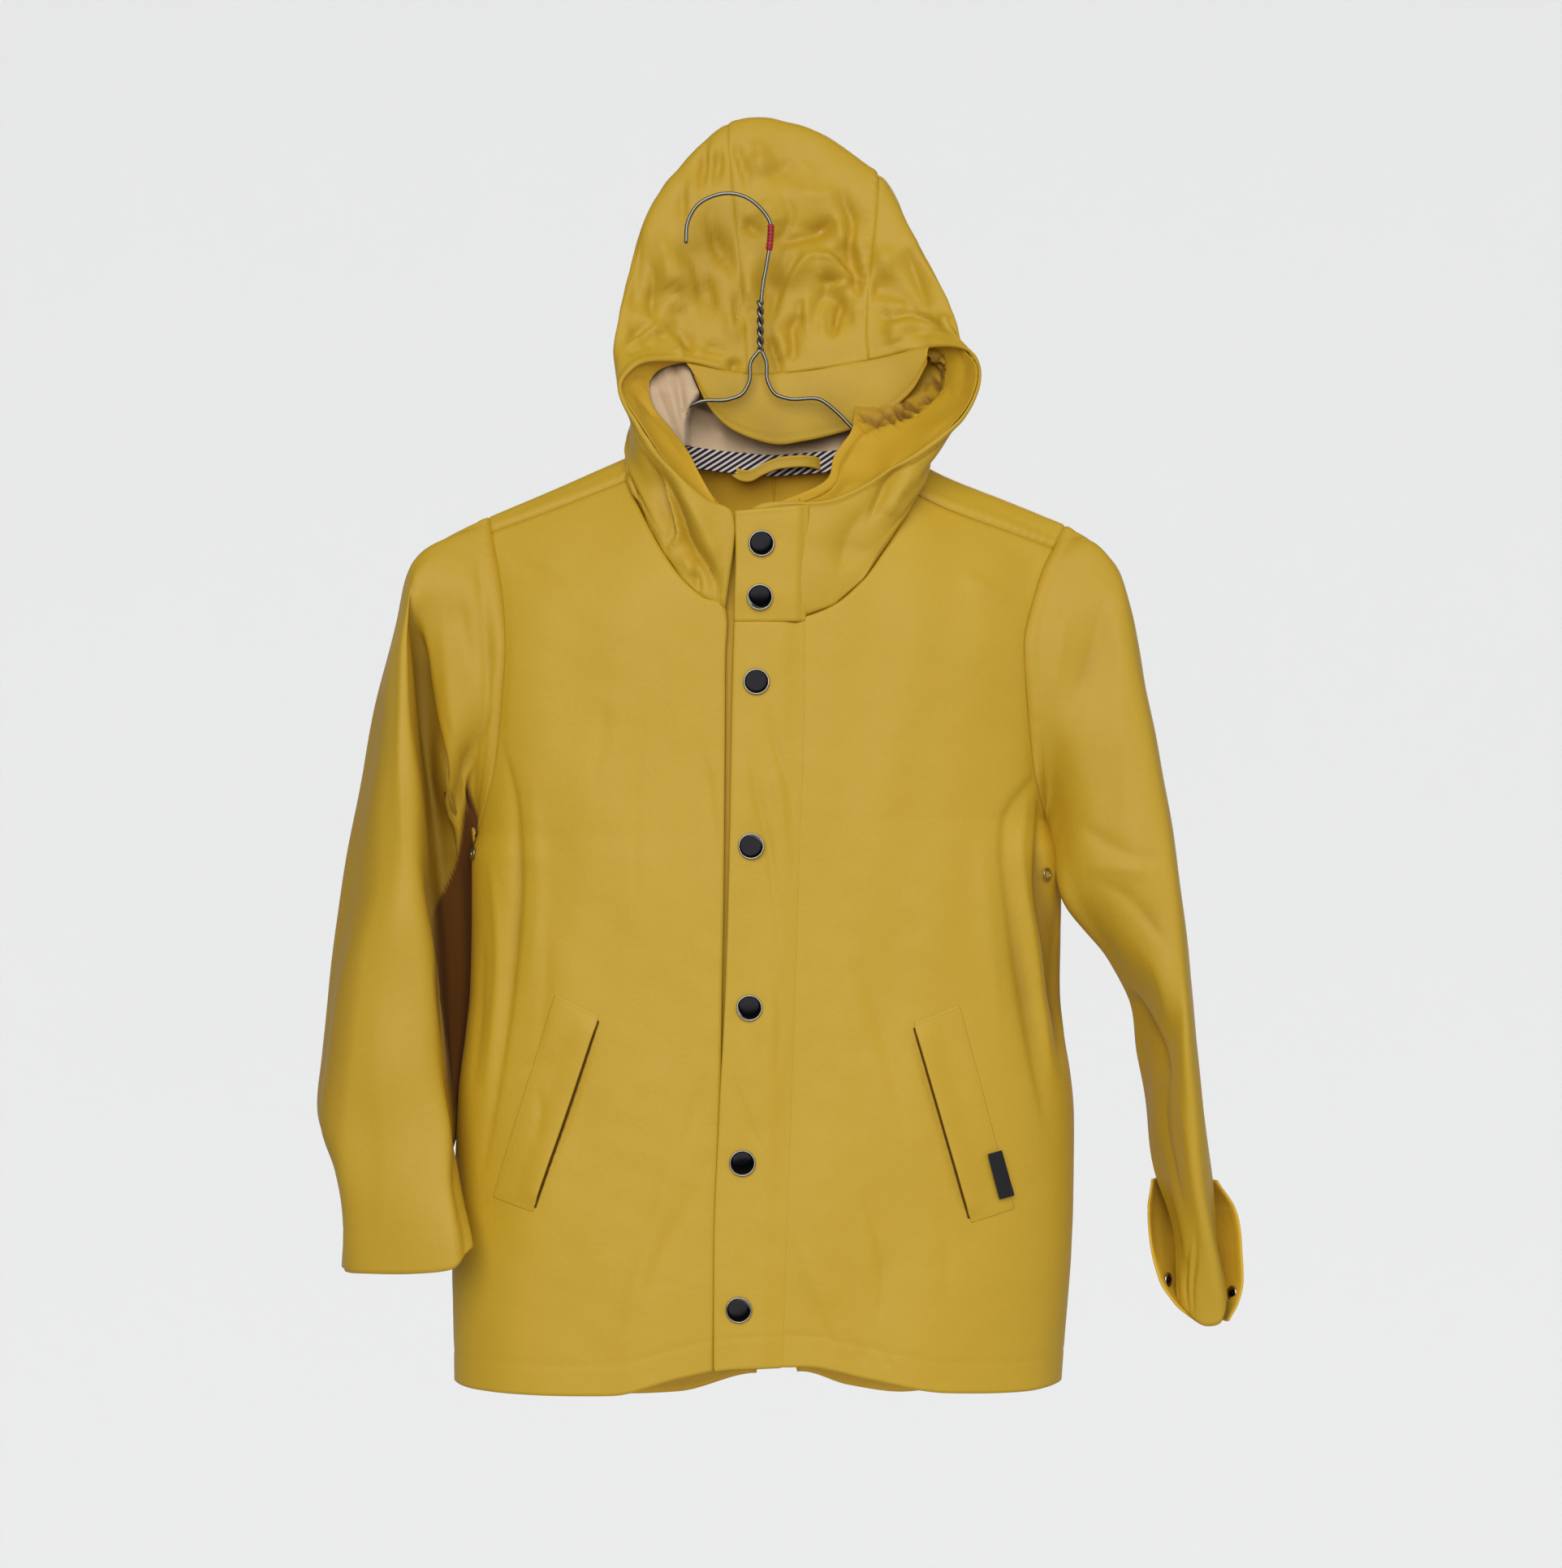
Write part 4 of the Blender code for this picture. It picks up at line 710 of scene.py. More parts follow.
def strip_faces(numbers, closed=False, looped=False):
    """Quads between rows of vertex numbers, closed across the columns or looped over the rows."""
    if looped:
        numbers = np.concatenate([numbers, numbers[:1]])
    if closed:
        numbers = np.concatenate([numbers, numbers[:, :1]], axis=1)
    return np.stack([numbers[:-1, :-1], numbers[1:, :-1], numbers[1:, 1:], numbers[:-1, 1:]], axis=-1).reshape(-1, 4)


def shell(name, outer, normals, thickness=CLOTH, closed=False, round_edge=0.45):
    """A closed thin shell under its outer points, its free edges rounded.

    thickness is one number, or one for each point.
    """
    inner = outer - normals * np.broadcast_to(thickness, outer.shape[:2])[..., None]
    middle = ((outer + inner) / 2).reshape(-1, 3)
    total = len(middle)
    numbers = np.arange(total).reshape(outer.shape[:2])
    quads = strip_faces(numbers, closed)
    vertices, faces = [outer.reshape(-1, 3), inner.reshape(-1, 3)], [quads, quads[:, ::-1] + total]
    if closed:
        rims = [(numbers[0], numbers[1]), (numbers[-1, ::-1], numbers[-2, ::-1])]
    else:
        rims = [(
            np.concatenate([numbers[0], numbers[1:, -1], numbers[-1, -2::-1], numbers[-2:0:-1, 0]]),
            np.concatenate([numbers[1], numbers[1:, -2], numbers[-2, -2::-1], numbers[-2:0:-1, 1]]),
        )]
    for rim, near in rims:
        edge = np.arange(len(rim)) + sum(map(len, vertices))
        vertices.append(middle[rim] + unit(middle[rim] - middle[near]) * round_edge)
        faces.append(strip_faces(np.array([rim + total, edge, rim]), closed=True))
    return make_mesh(name, np.concatenate(vertices), np.concatenate(faces).tolist())


def circle(sides, first, second):
    """Directions round a circle, from the first one towards the second."""
    angles = (np.arange(sides) * 2 * math.pi / sides)[:, None]
    return np.cos(angles) * first + np.sin(angles) * second


def axes(axis):
    """A direction and two square to it."""
    axis = unit(np.asarray(axis, float))
    side = unit(np.cross(axis, [0.0, 0.0, 1.0]))
    return axis, side, np.cross(side, axis)


def tube(name, rings, tips=None):
    """A mesh round rings of points: looped, or ended by fans to its two tips."""
    rows, sides = rings.shape[:2]
    numbers = np.arange(rows * sides).reshape(rows, sides)
    faces = strip_faces(numbers, True, looped=tips is None).tolist()
    vertices = rings.reshape(-1, 3)
    if tips is not None:
        vertices = np.concatenate([vertices, tips])
        for tip, ring in enumerate((numbers[0], numbers[-1, ::-1]), rows * sides):
            faces += [[a, b, tip] for a, b in zip(ring.tolist(), np.roll(ring, -1).tolist())]
    return make_mesh(name, vertices, faces)


def wire(name, path, radius, sides=12, closed=False):
    """A round wire along points; radius is one number or one for each point."""
    ahead = np.roll(path, -1, axis=0) - np.roll(path, 1, axis=0) if closed else np.gradient(path, axis=0)
    ahead = unit(ahead)
    over = unit(np.cross(ahead, [0.0, 1.0, 0.0]))
    size = np.broadcast_to(radius, (len(path),))[:, None]
    rings = path[:, None] + size[..., None] * circle(sides, np.cross(over, ahead)[:, None], over[:, None])
    tips = None if closed else path[[0, -1]] + (ahead * size * 0.5)[[0, -1]] * [[-1], [1]]
    return tube(name, rings, tips)


def turned(name, centre, axis, profile, sides=48):
    """A turned piece: profile rows are (radius, height) from the middle of its back to the middle of its front."""
    axis, side, up = axes(axis)
    rings = [centre + axis * height + radius * circle(sides, side, up) for radius, height in profile]
    return tube(name, np.array(rings[1:-1]), [rings[0][0], rings[-1][0]])


def torus(name, centre, axis, radius, thick, count=36, sides=12):
    axis, side, up = axes(axis)
    turn = (np.arange(sides) * 2 * math.pi / sides)[:, None]
    out = circle(count, side, up)[:, None]
    return tube(name, centre + out * (radius + thick * np.cos(turn)) + axis * (0.6 * thick * np.sin(turn)))


# ---------------------------------------------------------------- threads

THREADS = []


def sew(grid, normals, distance, at, axis=1, closed=False):
    """A row of stitches at one distance from an edge; axis 1 reads along each row, 0 down each column."""
    if axis == 0:
        grid, normals, distance = (np.swapaxes(a, 0, 1) for a in (grid, normals, distance))
    line = []
    for row, far in zip(np.concatenate([grid, normals], axis=2), distance):
        order = np.argsort(far)
        line.append([np.interp(at, far[order], row[order, k]) for k in range(6)])
    line = np.array(line + line[:1] if closed else line)
    THREADS.append((line[:, :3], unit(line[:, 3:])))


def stitches(name, pitch=2.9, length=2.1, thick=0.42, sink=0.1):
    """One mesh of all the stitches along the threads' lines of (points, normals)."""
    sides, profile = 6, ((-0.5, 0.35), (-0.34, 0.92), (0.0, 1.0), (0.34, 0.92), (0.5, 0.35))
    numbers = np.arange(len(profile) * sides).reshape(-1, sides)
    caps = np.array([[0, 1, 2, 3], [0, 3, 4, 5]])
    one = np.concatenate([strip_faces(numbers, True), caps, caps[:, ::-1] + numbers[-1, 0]])
    vertices = []
    for points, normals in THREADS:
        keys = run_along(points)
        at = np.arange(pitch / 2, keys[-1], pitch)

        def read(values, where):
            return np.stack([np.interp(where, keys, values[:, k]) for k in range(3)], axis=-1)

        place = read(points, at)
        ahead = unit(read(points, at + 0.4) - read(points, at - 0.4) + 1e-9)
        side = unit(np.cross(ahead, unit(read(normals, at))))
        up = np.cross(side, ahead)
        ring = circle(sides, side[:, None], up[:, None] * 0.8) * thick / 2
        vertices.append(np.stack([
            (place + ahead * where * length - up * (sink + 0.25 * thick * (1 - size)))[:, None] + ring * size
            for where, size in profile
        ], axis=1).reshape(-1, 3))
    vertices = np.concatenate(vertices)
    first = np.arange(0, len(vertices), numbers.size)[:, None, None]
    return make_mesh(name, vertices, (first + one).reshape(-1, 4).tolist())


# ---------------------------------------------------------------- materials

class Look:
    """A material in the making: a shader and textures placed by the piece's own coordinates."""

    def __init__(self, name, roughness, metallic=0.0, specular=0.5):
        self.material = bpy.data.materials.new(name)
        self.material.use_nodes = True
        self.tree = self.material.node_tree
        self.shader = self.tree.nodes["Principled BSDF"]
        for socket, value in (("Roughness", roughness), ("Metallic", metallic), ("Specular IOR Level", specular)):
            self.shader.inputs[socket].default_value = value
        self.place = self.node("TexCoord").outputs["Object"]

    def node(self, kind, settings=(), **inputs):
        """A shader node; inputs are values, or sockets to link from, and _0 is the first one."""
        made = self.tree.nodes.new("ShaderNode" + kind)
        for name, value in dict(settings).items():
            setattr(made, name, value)
        for name, value in inputs.items():
            self.feed(made.inputs[int(name[1:]) if name[0] == "_" else name.replace("_", " ")], value)
        return made

    def feed(self, socket, value):
        if isinstance(value, bpy.types.NodeSocket):
            self.tree.links.new(value, socket)
        elif isinstance(value, tuple) and socket.type == "RGBA":
            socket.default_value = (*value, 1.0)
        else:
            socket.default_value = value

    def noise(self, scale, detail=2.0, roughness=0.5):
        return self.node("TexNoise", Vector=self.place, Scale=scale, Detail=detail, Roughness=roughness).outputs["Fac"]

    def wave(self, direction, scale, **inputs):
        inputs = {"Vector": self.place, "Scale": scale, **inputs}
        return self.node("TexWave", {"bands_direction": direction}, **inputs).outputs["Fac"]

    def blend(self, factor, low, high):
        return self.node("Mix", {"data_type": "RGBA"}, _0=factor, _6=low, _7=high).outputs[2]

    def spread(self, value, low, high):
        """A 0 to 1 value spread between low and high."""
        return self.node("MapRange", Value=value, To_Min=low, To_Max=high).outputs["Result"]

    def largest(self, first, second):
        return self.node("Math", {"operation": "MAXIMUM"}, _0=first, _1=second).outputs[0]

    def colour(self, value):
        self.feed(self.shader.inputs["Base Color"], value)

    def bump(self, *heights):
        """Layers of bump; heights are (value socket, depth in metres)."""
        last = None
        for value, depth in heights:
            bump = self.node("Bump", Strength=1.0, Distance=depth, Height=value)
            if last:
                self.feed(bump.inputs["Normal"], last)
            last = bump.outputs["Normal"]
        self.feed(self.shader.inputs["Normal"], last)
        return self.material


def coated_cloth(name, deep, mid, light, roughness=0.6):
    """Rubbery matt coating over a fine knit: soft mottling, tiny pebbling, faint wrinkling, and painted shade where a
    piece asks for it.
    """
    look = Look(name, roughness)
    mottle = look.noise(110.0, 4.0, 0.6)
    base = look.blend(look.spread(look.noise(9.0, 3.0, 0.55), 0.15, 0.85), deep, light)
    base = look.blend(look.spread(mottle, 0.35, 0.65), base, mid)
    # Painted shade: a per-point attribute blends the colour towards dark brown and makes it matt, in place of the
    # shade in folds, recesses and turned-away parts.
    painted_shade = look.node("Attribute", {"attribute_name": "painted_fold_shade"}).outputs["Fac"]
    look.colour(look.blend(painted_shade, base, (0.125, 0.042, 0.001)))
    gloss = look.spread(mottle, roughness - 0.06, roughness + 0.07)
    look.feed(look.shader.inputs["Roughness"], look.largest(gloss, look.spread(painted_shade, 0.4, 1.0)))
    return look.bump((look.noise(1500.0), 0.00005), (look.noise(240.0, 3.0, 0.6), 0.00022))


def lining_cloth():
    look = Look("lining_cream", 0.6, specular=0.3)
    look.feed(look.shader.inputs["Sheen Weight"], 0.3)
    look.colour(look.blend(look.noise(14.0), (0.53, 0.375, 0.225), (0.61, 0.445, 0.28)))
    return look.bump(
        (look.wave("X", 700.0), 0.00003), (look.wave("Z", 700.0), 0.00003), (look.noise(160.0, 4.0), 0.00025)
    )


def striped_tape():
    """Fine slanting stripes, dark on off-white."""
    look = Look("striped_tape", 0.7, specular=0.2)
    slanted = look.node("Mapping", Vector=look.place, Rotation=(0.0, math.radians(33), 0.0)).outputs["Vector"]
    wave = look.wave("Z", 112.0, Vector=slanted, Distortion=0.25)
    ramp = look.node("ValToRGB", Fac=wave)
    stops = ((0.56, (0.014, 0.010, 0.022, 1.0)), (0.66, (0.68, 0.60, 0.55, 1.0)))
    for element, (position, colour) in zip(ramp.color_ramp.elements, stops):
        element.position, element.color = position, colour
    look.colour(ramp.outputs["Color"])
    return look.bump((look.noise(1400.0), 0.0001), (wave, 0.00008))


def metal(name, colour, roughness, brushed=0.00002, dulling=0.72):
    look = Look(name, roughness, metallic=1.0)
    wear = look.noise(420.0, 5.0, 0.7)
    look.colour(look.blend(wear, tuple(c * dulling for c in colour), colour))
    look.feed(look.shader.inputs["Roughness"], look.spread(wear, roughness * 0.7, roughness * 1.4))
    return look.bump((look.noise(1800.0), brushed))


def woven(name, colour, other):
    look = Look(name, 0.75, specular=0.2)
    fuzz = look.noise(1300.0, 3.0)
    look.colour(look.blend(fuzz, colour, other))
    return look.bump((look.wave("DIAGONAL", 325.0), 0.00006), (fuzz, 0.00008))


def glossy_tape(name, colour):
    look = Look(name, 0.35)
    wrinkle_and_shade = look.noise(500.0, 3.0)
    # Darker where the wrinkles sink, by the same noise that makes them: painted shade.
    look.colour(look.blend(wrinkle_and_shade, tuple(c * 0.6 for c in colour), colour))
    return look.bump((wrinkle_and_shade, 0.0003))


YELLOW = coated_cloth("coated_yellow", (0.500, 0.303, 0.009), (0.525, 0.324, 0.012), (0.550, 0.342, 0.017))
YELLOW_INSIDE = coated_cloth(
    "coated_yellow_inside", (0.53, 0.305, 0.007), (0.55, 0.32, 0.010), (0.57, 0.335, 0.013), 0.66
)
# A lighter copy of the yellow for the turned-up cuff: painted light on its shaded inside.
YELLOW_CUFF_PAINTED_LIT = coated_cloth("coated_yellow_cuff_painted_lit", (0.66, 0.40, 0.02), (0.68, 0.42, 0.025), (0.70, 0.44, 0.03), 0.66)
# A much lighter copy of the yellow for the backs' inner faces: painted light inside the neck, where little light
# reaches.
YELLOW_BACK_PAINTED_LIT = coated_cloth("coated_yellow_back_painted_lit", (0.86, 0.49, 0.02), (0.88, 0.51, 0.03), (0.90, 0.53, 0.04))
THREAD = woven("yellow_thread", (0.44, 0.27, 0.025), (0.56, 0.36, 0.045))
LINING = lining_cloth()
TAPE = striped_tape()
STEEL = metal("wire_steel", (0.20, 0.195, 0.17), 0.16, 0.000003, 0.8)
CHROME = metal("snap_rim", (0.42, 0.385, 0.31), 0.16)
DARK_CHROME = metal("snap_face", (0.011, 0.011, 0.012), 0.12)
# Dark brown for cords along the pocket openings: painted shade in the gaps under the welts.
POCKET_GAP_SHADE = woven("pocket_gap_painted_shade", (0.085, 0.034, 0.002), (0.11, 0.046, 0.003))
BLACK = woven("label_black", (0.008, 0.008, 0.010), (0.022, 0.022, 0.026))
RED = glossy_tape("tape_red", (0.40, 0.008, 0.018))


def finish_piece(piece, material, slot, *replaced):
    """Rides the piece on the frame, dresses it and hides the parts it stands for."""
    piece.data.materials.append(material)
    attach(piece, "root")
    if replaced:
        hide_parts(*replaced)
    return piece


def cloth_piece(
    name, outer, normals, material=YELLOW, slot="coated_yellow", painted_shade=None, inside=None, rests_on="hanger_frame",
    **shell_how
):
    """A shell of cloth put on the frame in place of its part. One argument gives how much painted shade each point
    gets; inside is the inner faces' look.
    """
    piece = shell(name + "_cloth", outer, normals, **shell_how)
    # The painted shade goes into a mesh attribute that the coated cloth's material reads.
    if painted_shade is not None:
        both = np.tile(np.broadcast_to(painted_shade, outer.shape[:2]).ravel(), 2)
        values = np.zeros(len(piece.data.vertices), np.float32)
        values[:len(both)] = np.clip(both, 0, 1)
        piece.data.attributes.new("painted_fold_shade", "FLOAT", "POINT").data.foreach_set("value", values)
    finish_piece(piece, material, slot, name)
    if inside is not None:
        piece.data.materials.append(inside)
        layer = (outer.shape[0] - 1) * (outer.shape[1] - 1)
        sides = np.zeros(len(piece.data.polygons), np.int32)
        sides[layer:2 * layer] = 1
        piece.data.polygons.foreach_set("material_index", sides)


# ---------------------------------------------------------------- the body

FRONT_CREASES = [
    (4.5, -3.2, -0.4, -133, -325, -127, -350, -124.5, -380, -124, -410, -126, -440, -130, -480, -137, -530, -145,
     -575),
    (6, 1.3, 0, -116, -345, -114, -380, -113, -420, -118, -470),
    (4, 1.8, 0, -141, -395, -137, -430, -137, -470, -143, -530), (3, -1.2, 0, -145, -440, -146, -480, -150, -530),
    (4, -0.9, 0, -107, -430, -108, -470, -113, -510), (6, -1, 0, -72, -295, -76, -325, -80, -355),
    (5, -1, 0, -50, -300, -54, -335, -56, -380, -54, -415), (4, -1.1, 0, -18, -315, -12, -350, -7, -390),
    (8, 1, 0, -36, -255, -32, -290, -28, -330), (8, 1.5, 0, -30, -555, -40, -600, -52, -640, -62, -685),
    (6, -1.1, 0, -18, -585, -36, -620, -50, -655), (5, -0.9, 0, -14, -515, -20, -545, -30, -570),
    (7, -1.2, 0, -132, -212, -115, -222, -95, -228), (4.5, -1.3, 0, -122, -518, -108, -512, -94, -498),
    (4.5, -1.1, 0, -112, -528, -111, -545, -114, -560),
    (8, -4.2, 0.4, 186, -338, 176, -350, 166, -364, 163, -385, 166, -415, 170, -445, 177, -485, 183, -520, 189, -550),
    (3.6, 3, 0.2, 176, -358, 173, -385, 175, -410, 180, -440, 186, -480, 192, -520),
    (5, -7, 0.3, 185, -348, 184, -372, 184, -395, 187, -420, 191, -440, 194, -470, 198, -520),
    (7, 1.6, 0, 150, -380, 152, -410, 155, -445, 160, -490), (6, 1.2, 0, 138, -222, 152, -234, 165, -240),
    (6, -1.1, 0, 78, -445, 90, -490, 100, -530, 106, -565), (7, 0.9, 0, 70, -465, 84, -505, 92, -545),
    (3, -1.4, 0.2, 80, -588, 88, -615, 92, -640, 88, -668), (5, 0.8, 0, 74, -590, 82, -620, 83, -652),
    (6, 1.1, 0, 40, -615, 52, -645, 66, -675), (6, -0.9, 0, 124, -590, 130, -620, 130, -655),
    (1.6, -0.9, 0, 55, -666, 63, -682), (1.9, -1, 0, 71, -674, 82, -692), (1.9, -0.7, 0, 87, -680, 98, -696),
    (2.2, 0.6, 0, 64, -672, 74, -690), (1.8, -1, 0, 20, -293, 28, -325, 36, -352, 40, -388),
    (2.6, -1.3, 0, 12, -322, 17, -355, 24, -385, 28, -420, 30, -452), (3, 0.9, 0, 24, -328, 31, -362, 36, -402),
    (1.7, -1.1, 0, 1, -518, 8, -538, 15, -555, 21, -565), (3.2, -0.9, 0, 24, -452, 30, -480, 28, -522),
    (3, 0.7, 0, 16, -440, 18, -470, 16, -505),
]
BACK_CREASES = [
    (7, -3.2, 0.3, -128, -300, -112, -360, -106, -430, -116, -520, -124, -600),
    (8, 1.6, 0, -96, -330, -88, -400, -92, -480),
    (7, -3.4, -0.3, 166, -290, 150, -350, 146, -430, 156, -520, 168, -610),
    (8, 1.6, 0, 128, -320, 122, -400, 130, -490), (8, -1.8, 0, -60, -215, -30, -240, 0, -300, 8, -370),
    (8, -1.8, 0, 110, -220, 84, -245, 58, -300, 50, -360), (8, -1.8, 0, -20, -470, -34, -540, -30, -620, -40, -690),
    (8, -2, 0, 80, -470, 92, -540, 84, -620, 94, -690), (6, 1.2, 0, 20, -520, 4, -570, 10, -640),
    (6, -1.4, 0, -136, -640, -120, -660, -98, -690), (6, -1.4, 0, 170, -640, 150, -665, 128, -695),
]
POCKET_SLITS = [
    (2, -1.6, 0, -75.3, -486, -94.8, -544, -114.3, -601), (2, -1.6, 0, 108.4, -490, 125.1, -549, 142.2, -607),
]


def panel_relief(points, side, back):
    """Folds, seams and hem of one front or back, and the cloth's thickness there."""
    hem, top, inner, outer = edge_distances(points)
    arm = smooth(points[:, -1:, 2], UNDERARM[side] - 3, UNDERARM[side] + 3)
    across = run_along(points[-1])[None]
    height = body_relief(points, back) * smooth(outer, 0, 9) * smooth(top, 0, 14)
    height = height + seam(outer, 1.0, 0.9) * arm + seam(outer, 0.6, 1.0) * (1 - arm) + seam(top, 1.0, 1.0)
    thick = CLOTH + 1.1 * fade(hem, HEM_TURN - 2, HEM_TURN + 1)
    if back:
        height = height + allowance(top, 7.0, 0.5) + allowance(inner, 6.0, 0.35) + seam(inner, 0.9)
        height = height * smooth(hem, -1, 0.1)
        if side == "left":
            height = height + ladder(top, across, 12, 400, 5.6, 0.55)
        height = height + stitch_groove(top, SEAM_STITCH) + stitch_groove(inner, CENTRE_STITCH)
    else:
        neck = smooth(points[:, :1, 2], -256, -250)
        height = height + neck * seam(inner, 1.0, 1.0) + creases(*seen_from_front(points), POCKET_SLITS)
        thick = thick + 0.8 * fade(inner, 3, 5) * (1 - neck)
    puckers = 0.12 * np.sin(2 * math.pi * across / 23.0) * bell(hem - HEM_TURN, 7.0) * smooth(hem, 0, 4)
    return height + stitch_groove(hem, HEM_TURN, 0.32, 1.4) + puckers, thick


def make_panels():
    for back in (False, True):
        for side in SIDES:
            points, normals = body_panel(side, back, BACK_SPACING if back else FRONT_SPACING)
            height, thick = panel_relief(points, side, back)
            outer = raised(points, normals, height)
            # Fronts and backs get painted shade where their folds sink in.
            cloth_piece(
                ("back_" if back else "front_") + side, outer, normals, thickness=thick, round_edge=0.35,
                painted_shade=0.45 * smooth(-body_relief(points, back), 1.5, 6.0), inside=YELLOW_BACK_PAINTED_LIT if back else None,
            )
            hem, top, inner, _ = edge_distances(points)
            sew(outer, normals, hem, HEM_TURN, axis=0)
            if back:
                sew(outer, normals, top, SEAM_STITCH, axis=0)
                sew(outer, normals, inner, CENTRE_STITCH)


# ---------------------------------------------------------------- sleeves

SLEEVE_CREASES = {
    "right": [
        (4.5, -6.5, -0.7, -188, -226, -184, -250, -180, -272, -178, -292, -175, -308, -170, -327, -166, -344, -163,
         -370, -161, -392),
        (4, -5, -0.7, -140, -306, -147, -322, -154, -336, -158, -352, -161, -374, -161, -392),
        (2.2, -5, 0.4, -149, -334, -153.5, -350, -153, -366, -150, -382),
        (3, -2.4, 0, -149, -210, -145, -240, -143.5, -270, -143, -295, -147, -318),
        (4.5, -1.4, 0, -162, -228, -157, -252, -151, -280),
        (5, 1.6, 0, -170, -232, -168, -262, -165, -300, -160, -325),
        (4, 1.6, 0, -192, -235, -193, -270, -194, -310, -193, -360, -192, -400),
        (8, 1, 0, -206, -470, -208, -520, -204, -570, -206, -610),
        (8, -1, 0, -190, -440, -186, -490, -184, -540, -186, -590),
        (4, 1, 0, -176, -470, -171, -510, -167, -550, -168, -590),
    ],
    "left": [
        (5, -2.4, 0, 208, -372, 222, -382, 240, -391, 254, -393), (5, 2, 0, 212, -399, 228, -397, 250, -400),
        (5, -2.2, 0, 220, -406, 235, -415, 248, -428, 258, -442),
        (8, -2.6, 0, 226, -232, 217, -262, 208, -292, 199, -322), (6, 1.6, 0, 200, -240, 196, -270, 192, -300),
        (8, 1.4, 0, 232, -300, 236, -340, 232, -372), (6, 1.2, 0, 240, -440, 252, -460, 262, -490),
        (3.5, -5.5, -0.7, 239, -471, 250, -490, 258, -506, 262, -523),
        (1.5, -1.6, -0.3, 262, -520, 259.5, -540, 260.5, -558, 264, -576, 270, -598),
        (4, 1.4, 0, 266, -530, 272, -560, 277, -590, 282, -625),
        (1.1, -2.2, 0, 277, -612, 276, -630, 274.5, -645, 275.5, -662),
        (1.1, -1.8, 0, 274, -618, 271.3, -634, 271, -648, 273, -662),
        (1.3, 0.8, 0, 275.8, -618, 273.6, -634, 272.8, -650),
    ],
}
SLEEVE_BACK_CREASES = {
    "right": [
        (6, -3, 0.2, -150, -300, -165, -350, -176, -410, -196, -460), (6, -2, 0, -200, -290, -190, -340, -196, -400),
        (5, -2.6, 0, -168, -470, -190, -500, -222, -520), (5, -2.2, 0, -164, -520, -186, -544, -220, -560),
        (5, -1.4, 0, -176, -560, -190, -590, -196, -625),
    ],
    "left": [
        (6, -3, 0.2, 196, -300, 208, -350, 226, -400, 250, -440), (6, -2, 0, 240, -290, 236, -340, 250, -390),
        (4, -2.4, 0, 240, -470, 256, -490, 274, -500), (4, -2, 0, 252, -530, 264, -548, 280, -556),
    ],
}
# Edges of the painted shade on the right sleeve's folded-in cloth, as seen from the front: the fold, the end of the
# shaded wedge beside it, the deep gap against the body, its top, and the turned-away outer side. UNDER_LINE bounds the
# painted shade on the left sleeve's underside.
FOLD_LINE = table(
    "z x", (-226, -188), (-278, -187), (-323, -185), (-374, -180.5), (-408, -178), (-449, -174.7), (-518, -167.5),
    (-547, -163.5), (-600, -158),
)
LIT_LINE = table("z x", (-228, -188), (-270, -180), (-305, -176), (-342, -166), (-390, -160), (-427, -176))
DEEP_LINE = table(
    "z x", (-340, -150), (-346, -153.5), (-365, -156), (-390, -160), (-408, -167), (-425, -174.5), (-449, -174.7),
    (-518, -167.5), (-547, -163), (-600, -156),
)
SLIT_LINE = table("z x", (-346, -153), (-353, -152), (-374, -148.5), (-380, -146), (-384, -120), (-400, -120))
OUTER_LINE = table(
    "z x", (-240, -192), (-278, -197), (-329, -198.5), (-364, -202), (-415, -205.5), (-449, -213), (-500, -219),
    (-560, -226),
)
UNDER_LINE = table(
    "z x", (-462, 230), (-476, 243), (-490, 250), (-506, 258), (-523, 262), (-540, 262), (-558, 263), (-580, 266),
    (-600, 270), (-620, 272),
)


# Painted shade on the right sleeve: a mid shade on the wedge beside the fold, full shade in the deep gap against the
# body, and a light shade on the turned-away outer side.
def right_sleeve_painted_shade(x, z):
    fold = smooth(x - line_at(FOLD_LINE, z), -0.4, 1.2)
    wedge = fold * fade(x - line_at(LIT_LINE, z), -1.0, 0.6) * smooth(z, -428, -420)
    deep = smooth(x - line_at(DEEP_LINE, z), -0.6, 1.0) * band(-z, 346, 352, 560, 592)
    deep = deep * fade(x - line_at(SLIT_LINE, z), -0.8, 0.6)
    outer = fade(x - line_at(OUTER_LINE, z), -9.0, 2.0) * band(-z, 215, 260, 560, 600)
    return np.maximum(np.maximum(0.40 * wedge, deep), 0.26 * outer)


